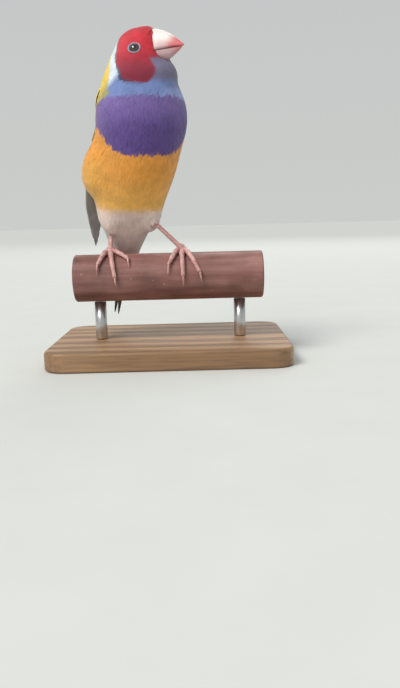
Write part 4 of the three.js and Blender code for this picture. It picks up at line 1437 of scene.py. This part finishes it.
def perchMaterial():
    material, tree, shader = newMaterial("perchWood")
    place = placeOf(tree)
    grain = noise(tree, place, 220, 6, stretch=(0.12, 1.0, 1.0))
    blotch = noise(tree, place, 90, 3)
    scuffs = noise(tree, place, 700, 3, stretch=(0.5, 1.0, 1.0))
    low, mid, high = stand["perchColours"]
    colour = ramp(tree, grain, [(0.25, low), (0.5, mid), (0.8, high)])
    colour = tinted(tree, colour, ramp(tree, blotch, [(0.3, 0.72), (0.65, 1.15)]))
    worn = ramp(tree, scuffs, [(0.68, 0.0), (0.76, 1.0)])
    colour = mixColour(tree, colour, (0.52, 0.38, 0.34), sums(tree, "MULTIPLY", worn, 0.5))
    link(tree, colour, shader.inputs["Base Color"])
    link(tree, ramp(tree, grain, [(0.3, 0.75), (0.7, 0.55)]), shader.inputs["Roughness"])
    bump(tree, shader, grain, 0.45, 0.0004)
    return material


def baseMaterial():
    material, tree, shader = newMaterial("baseWood")
    place = placeOf(tree)
    rings = node(tree, "TexWave", {"Scale": 26, "Distortion": 5, "Detail": 3}, bands_direction="Y")
    stretch = node(tree, "Mapping", {"Scale": (0.16, 1.0, 1.0)})
    link(tree, place, stretch.inputs["Vector"])
    link(tree, stretch.outputs[0], rings.inputs["Vector"])
    low, high = stand["baseColours"]
    colour = ramp(tree, rings.outputs["Fac"], [(0.2, low), (0.85, high)])
    pores = noise(tree, place, 900, 3, stretch=(0.06, 1.0, 1.0))
    colour = tinted(tree, colour, ramp(tree, pores, [(0.35, 0.7), (0.6, 1.05)]), 0.8)
    link(tree, colour, shader.inputs["Base Color"])
    link(tree, ramp(tree, pores, [(0.3, 0.55), (0.7, 0.38)]), shader.inputs["Roughness"])
    bump(tree, shader, pores, 0.2, 0.0001)
    return material


def steelMaterial():
    material, tree, shader = newMaterial("rodSteel")
    brush = noise(tree, placeOf(tree), 900, 3, stretch=(1.0, 1.0, 8.0))
    tones = [(0.3, (0.52, 0.52, 0.53)), (0.7, (0.62, 0.62, 0.63))]
    link(tree, ramp(tree, brush, [(0.3, 0.26), (0.7, 0.4)]), shader.inputs["Roughness"])
    link(tree, ramp(tree, brush, tones), shader.inputs["Base Color"])
    shader.inputs["Metallic"].default_value = 1.0
    return material


def makePerch():
    half, radius, bevel = perch["length"] / 2, perch["radius"], perch["bevel"]
    corner = [(half - bevel * (1 - math.cos(a)), radius - bevel * (1 - math.sin(a)))
              for a in np.linspace(math.pi / 2, 0.1, 6)]
    corner.append((half, radius - bevel))
    rows = [(-x, r) for x, r in corner[::-1]]
    rows += [(x, radius) for x in np.linspace(-half + 2, half - 2, 60)]
    rows += corner
    turn = fullTurn(96)
    rings = np.array([
        np.stack([np.full(len(turn), x), r * np.cos(turn), r * np.sin(turn)], -1) for x, r in rows])
    points, faces = closedRings(rings)
    points = points + np.array([perch["middle"], 0, 0]) + birdShift
    piece = meshOf("perch_bar", points, faces)
    piece.data.materials.append(perchMaterial())
    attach(piece, "root")
    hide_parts("stand_perch")


def roundedOutline(w, d, r, steps=8):
    spots = []
    for right, back, start in ((1, -1, -90), (1, 1, 0), (-1, 1, 90), (-1, -1, 180)):
        x, y = right * (w - r), back * (d - r)
        for a in np.radians(np.linspace(start, start + 90, steps)):
            spots.append((x + r * math.cos(a), y + r * math.sin(a)))
    return np.array(spots)


def makeBase():
    rings = []
    for share in np.linspace(0, math.pi / 2, 6):
        inset = stand["bevel"] * (1 - math.sin(share))
        outline = roundedOutline(
            stand["length"] / 2 - inset, stand["depth"] / 2 - inset, stand["corner"] - inset)
        height = stand["bevel"] * (1 - math.cos(share))
        rings.append(np.column_stack([outline, np.full(len(outline), height)]))
    for ring in rings[::-1]:
        rings.append(np.column_stack([ring[:, :2], stand["thickness"] - ring[:, 2]]))
    points, faces = closedRings(rings)
    base = meshOf("base_board", points, faces, smoothShade=False)
    base.data.materials.append(baseMaterial())
    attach(base, "root")
    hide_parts("stand_base")


def makeRods():  # each ends in the saddle that it makes with the perch
    steel = steelMaterial()
    radius, bevel = stand["rod"], stand["rodBevel"]
    turn = fullTurn(48)
    saddle = perchHeight - np.sqrt((perch["radius"] + perch["gap"]) ** 2 - (radius * np.sin(turn)) ** 2)
    for name in ("left", "right"):
        low, high = (np.array(v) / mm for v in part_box("stand_rod_" + name))
        x, y, _ = (low + high) / 2
        rings = []
        for r, z in ((radius - bevel, low[2]), (radius, low[2] + bevel), (radius, saddle)):
            rings.append(np.stack([x + r * np.cos(turn), y + r * np.sin(turn), z + 0 * turn], -1))
        points, faces = closedRings(rings)
        rod = meshOf("rod_" + name, points, faces)
        rod.data.materials.append(steel)
        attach(rod, "root")
        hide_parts("stand_rod_" + name)


# Camera, floor and light

view = {
    "from": (12.5, -304.0, 57.5),
    "down": math.radians(10),
    "roll": math.radians(1.5),
    "lens": 36.52,
    "floorColour": (0.60, 0.61, 0.585),
    "floorSize": 9000.0,
    "low": (0.60, 0.61, 0.59),
    "high": (0.52, 0.55, 0.56),
    "worldStrength": 1.0,
    "sun": 2.3,
    "sunWidth": math.radians(25),
    "sunColour": (1.0, 0.97, 0.93),
    "sunFrom": (-1.1, -1.0, 1.7),
    "aim": (0, 0, 0.08),
}


def makeCamera():
    data = bpy.data.cameras.new("camera")
    data.lens = view["lens"]
    data.sensor_width = 36
    data.clip_start = 0.01
    data.clip_end = 20  # past the floor's far edge
    camera = bpy.data.objects.new("camera", data)
    bpy.context.scene.collection.objects.link(camera)
    down, roll = view["down"], view["roll"]
    right = Vector((1, 0, 0))
    up = Vector((0, math.sin(down), math.cos(down)))
    right, up = right * math.cos(roll) - up * math.sin(roll), right * math.sin(roll) + up * math.cos(roll)
    back = right.cross(up)
    turned = Matrix((right, up, back)).transposed().to_4x4()
    camera.matrix_world = Matrix.Translation(Vector(view["from"]) * mm) @ turned
    bpy.context.scene.camera = camera


def makeFloor():  # a pale round sheet of paper
    turn = fullTurn(96)
    sides = len(turn)
    reach = np.array([0.02, 0.1, 0.3, 1.0]) * view["floorSize"]
    x, y = np.outer(reach, np.cos(turn)), np.outer(reach, np.sin(turn))
    rings = np.stack([x, y, np.zeros(x.shape)], -1)
    points = np.concatenate([rings.reshape(-1, 3), [[0, 0, 0]]])
    j = np.arange(sides)
    middle = np.stack([np.full(sides, len(points) - 1), j, (j + 1) % sides], -1)
    floor = meshOf("floor", points, [gridFaces(len(reach), sides)[:, ::-1], middle])
    material, tree, shader = newMaterial("floorPaper")
    fibre = noise(tree, placeOf(tree), 40, 4)
    low = tuple(c * 0.97 for c in view["floorColour"])
    link(tree, ramp(tree, fibre, [(0.3, low), (0.7, view["floorColour"])]), shader.inputs["Base Color"])
    shader.inputs["Roughness"].default_value = 0.9
    floor.data.materials.append(material)


def addLight(name, kind, strength, colour=(1.0, 1.0, 1.0)):
    data = bpy.data.lights.new(name, kind)
    data.energy = strength
    data.color = colour
    light = bpy.data.objects.new(name, data)
    bpy.context.scene.collection.objects.link(light)
    return light


def addLamp(name, place, size, power):  # a square lamp aimed at the bird
    lamp = addLight(name, "AREA", power)
    lamp.data.size = size
    lamp.location = place
    lamp.rotation_euler = (Vector(view["aim"]) - Vector(place)).to_track_quat("-Z", "Y").to_euler()


def makeLights():
    scene = bpy.context.scene
    scene.view_settings.view_transform = "Standard"
    world = bpy.data.worlds.new("studio")
    world.use_nodes = True
    tree = world.node_tree
    background = tree.nodes["Background"]
    height = node(tree, "SeparateXYZ")
    link(tree, node(tree, "TexCoord").outputs["Generated"], height.inputs[0])
    sky = ramp(tree, height.outputs[2], [(0.0, view["low"]), (0.5, view["high"])])
    link(tree, sky, background.inputs[0])
    background.inputs[1].default_value = view["worldStrength"]
    scene.world = world
    key = addLight("key", "SUN", view["sun"], view["sunColour"])
    key.data.angle = view["sunWidth"]
    key.rotation_euler = Vector(view["sunFrom"]).to_track_quat("Z", "Y").to_euler()
    addLamp("glint", (-0.25, -0.5, 0.45), 0.15, 0.6)
    addLamp("rim", (0.3, 1.2, 1.1), 0.8, 5)


makeCamera()
makeFloor()
makeLights()
print("stage and camera")
makeBase()
makeRods()
makePerch()
print("stand and perch")
makeSkin()
makeCoat()
print("skin and body feathers")
addLesserRows()
makeWing(1, "wing_left")
makeWing(-1, "wing_right")
makeTail()
print("wings and tail")
makeBill()
makeEyes()
makeLegs()
makeTrousers()
print("bill, eyes and legs")
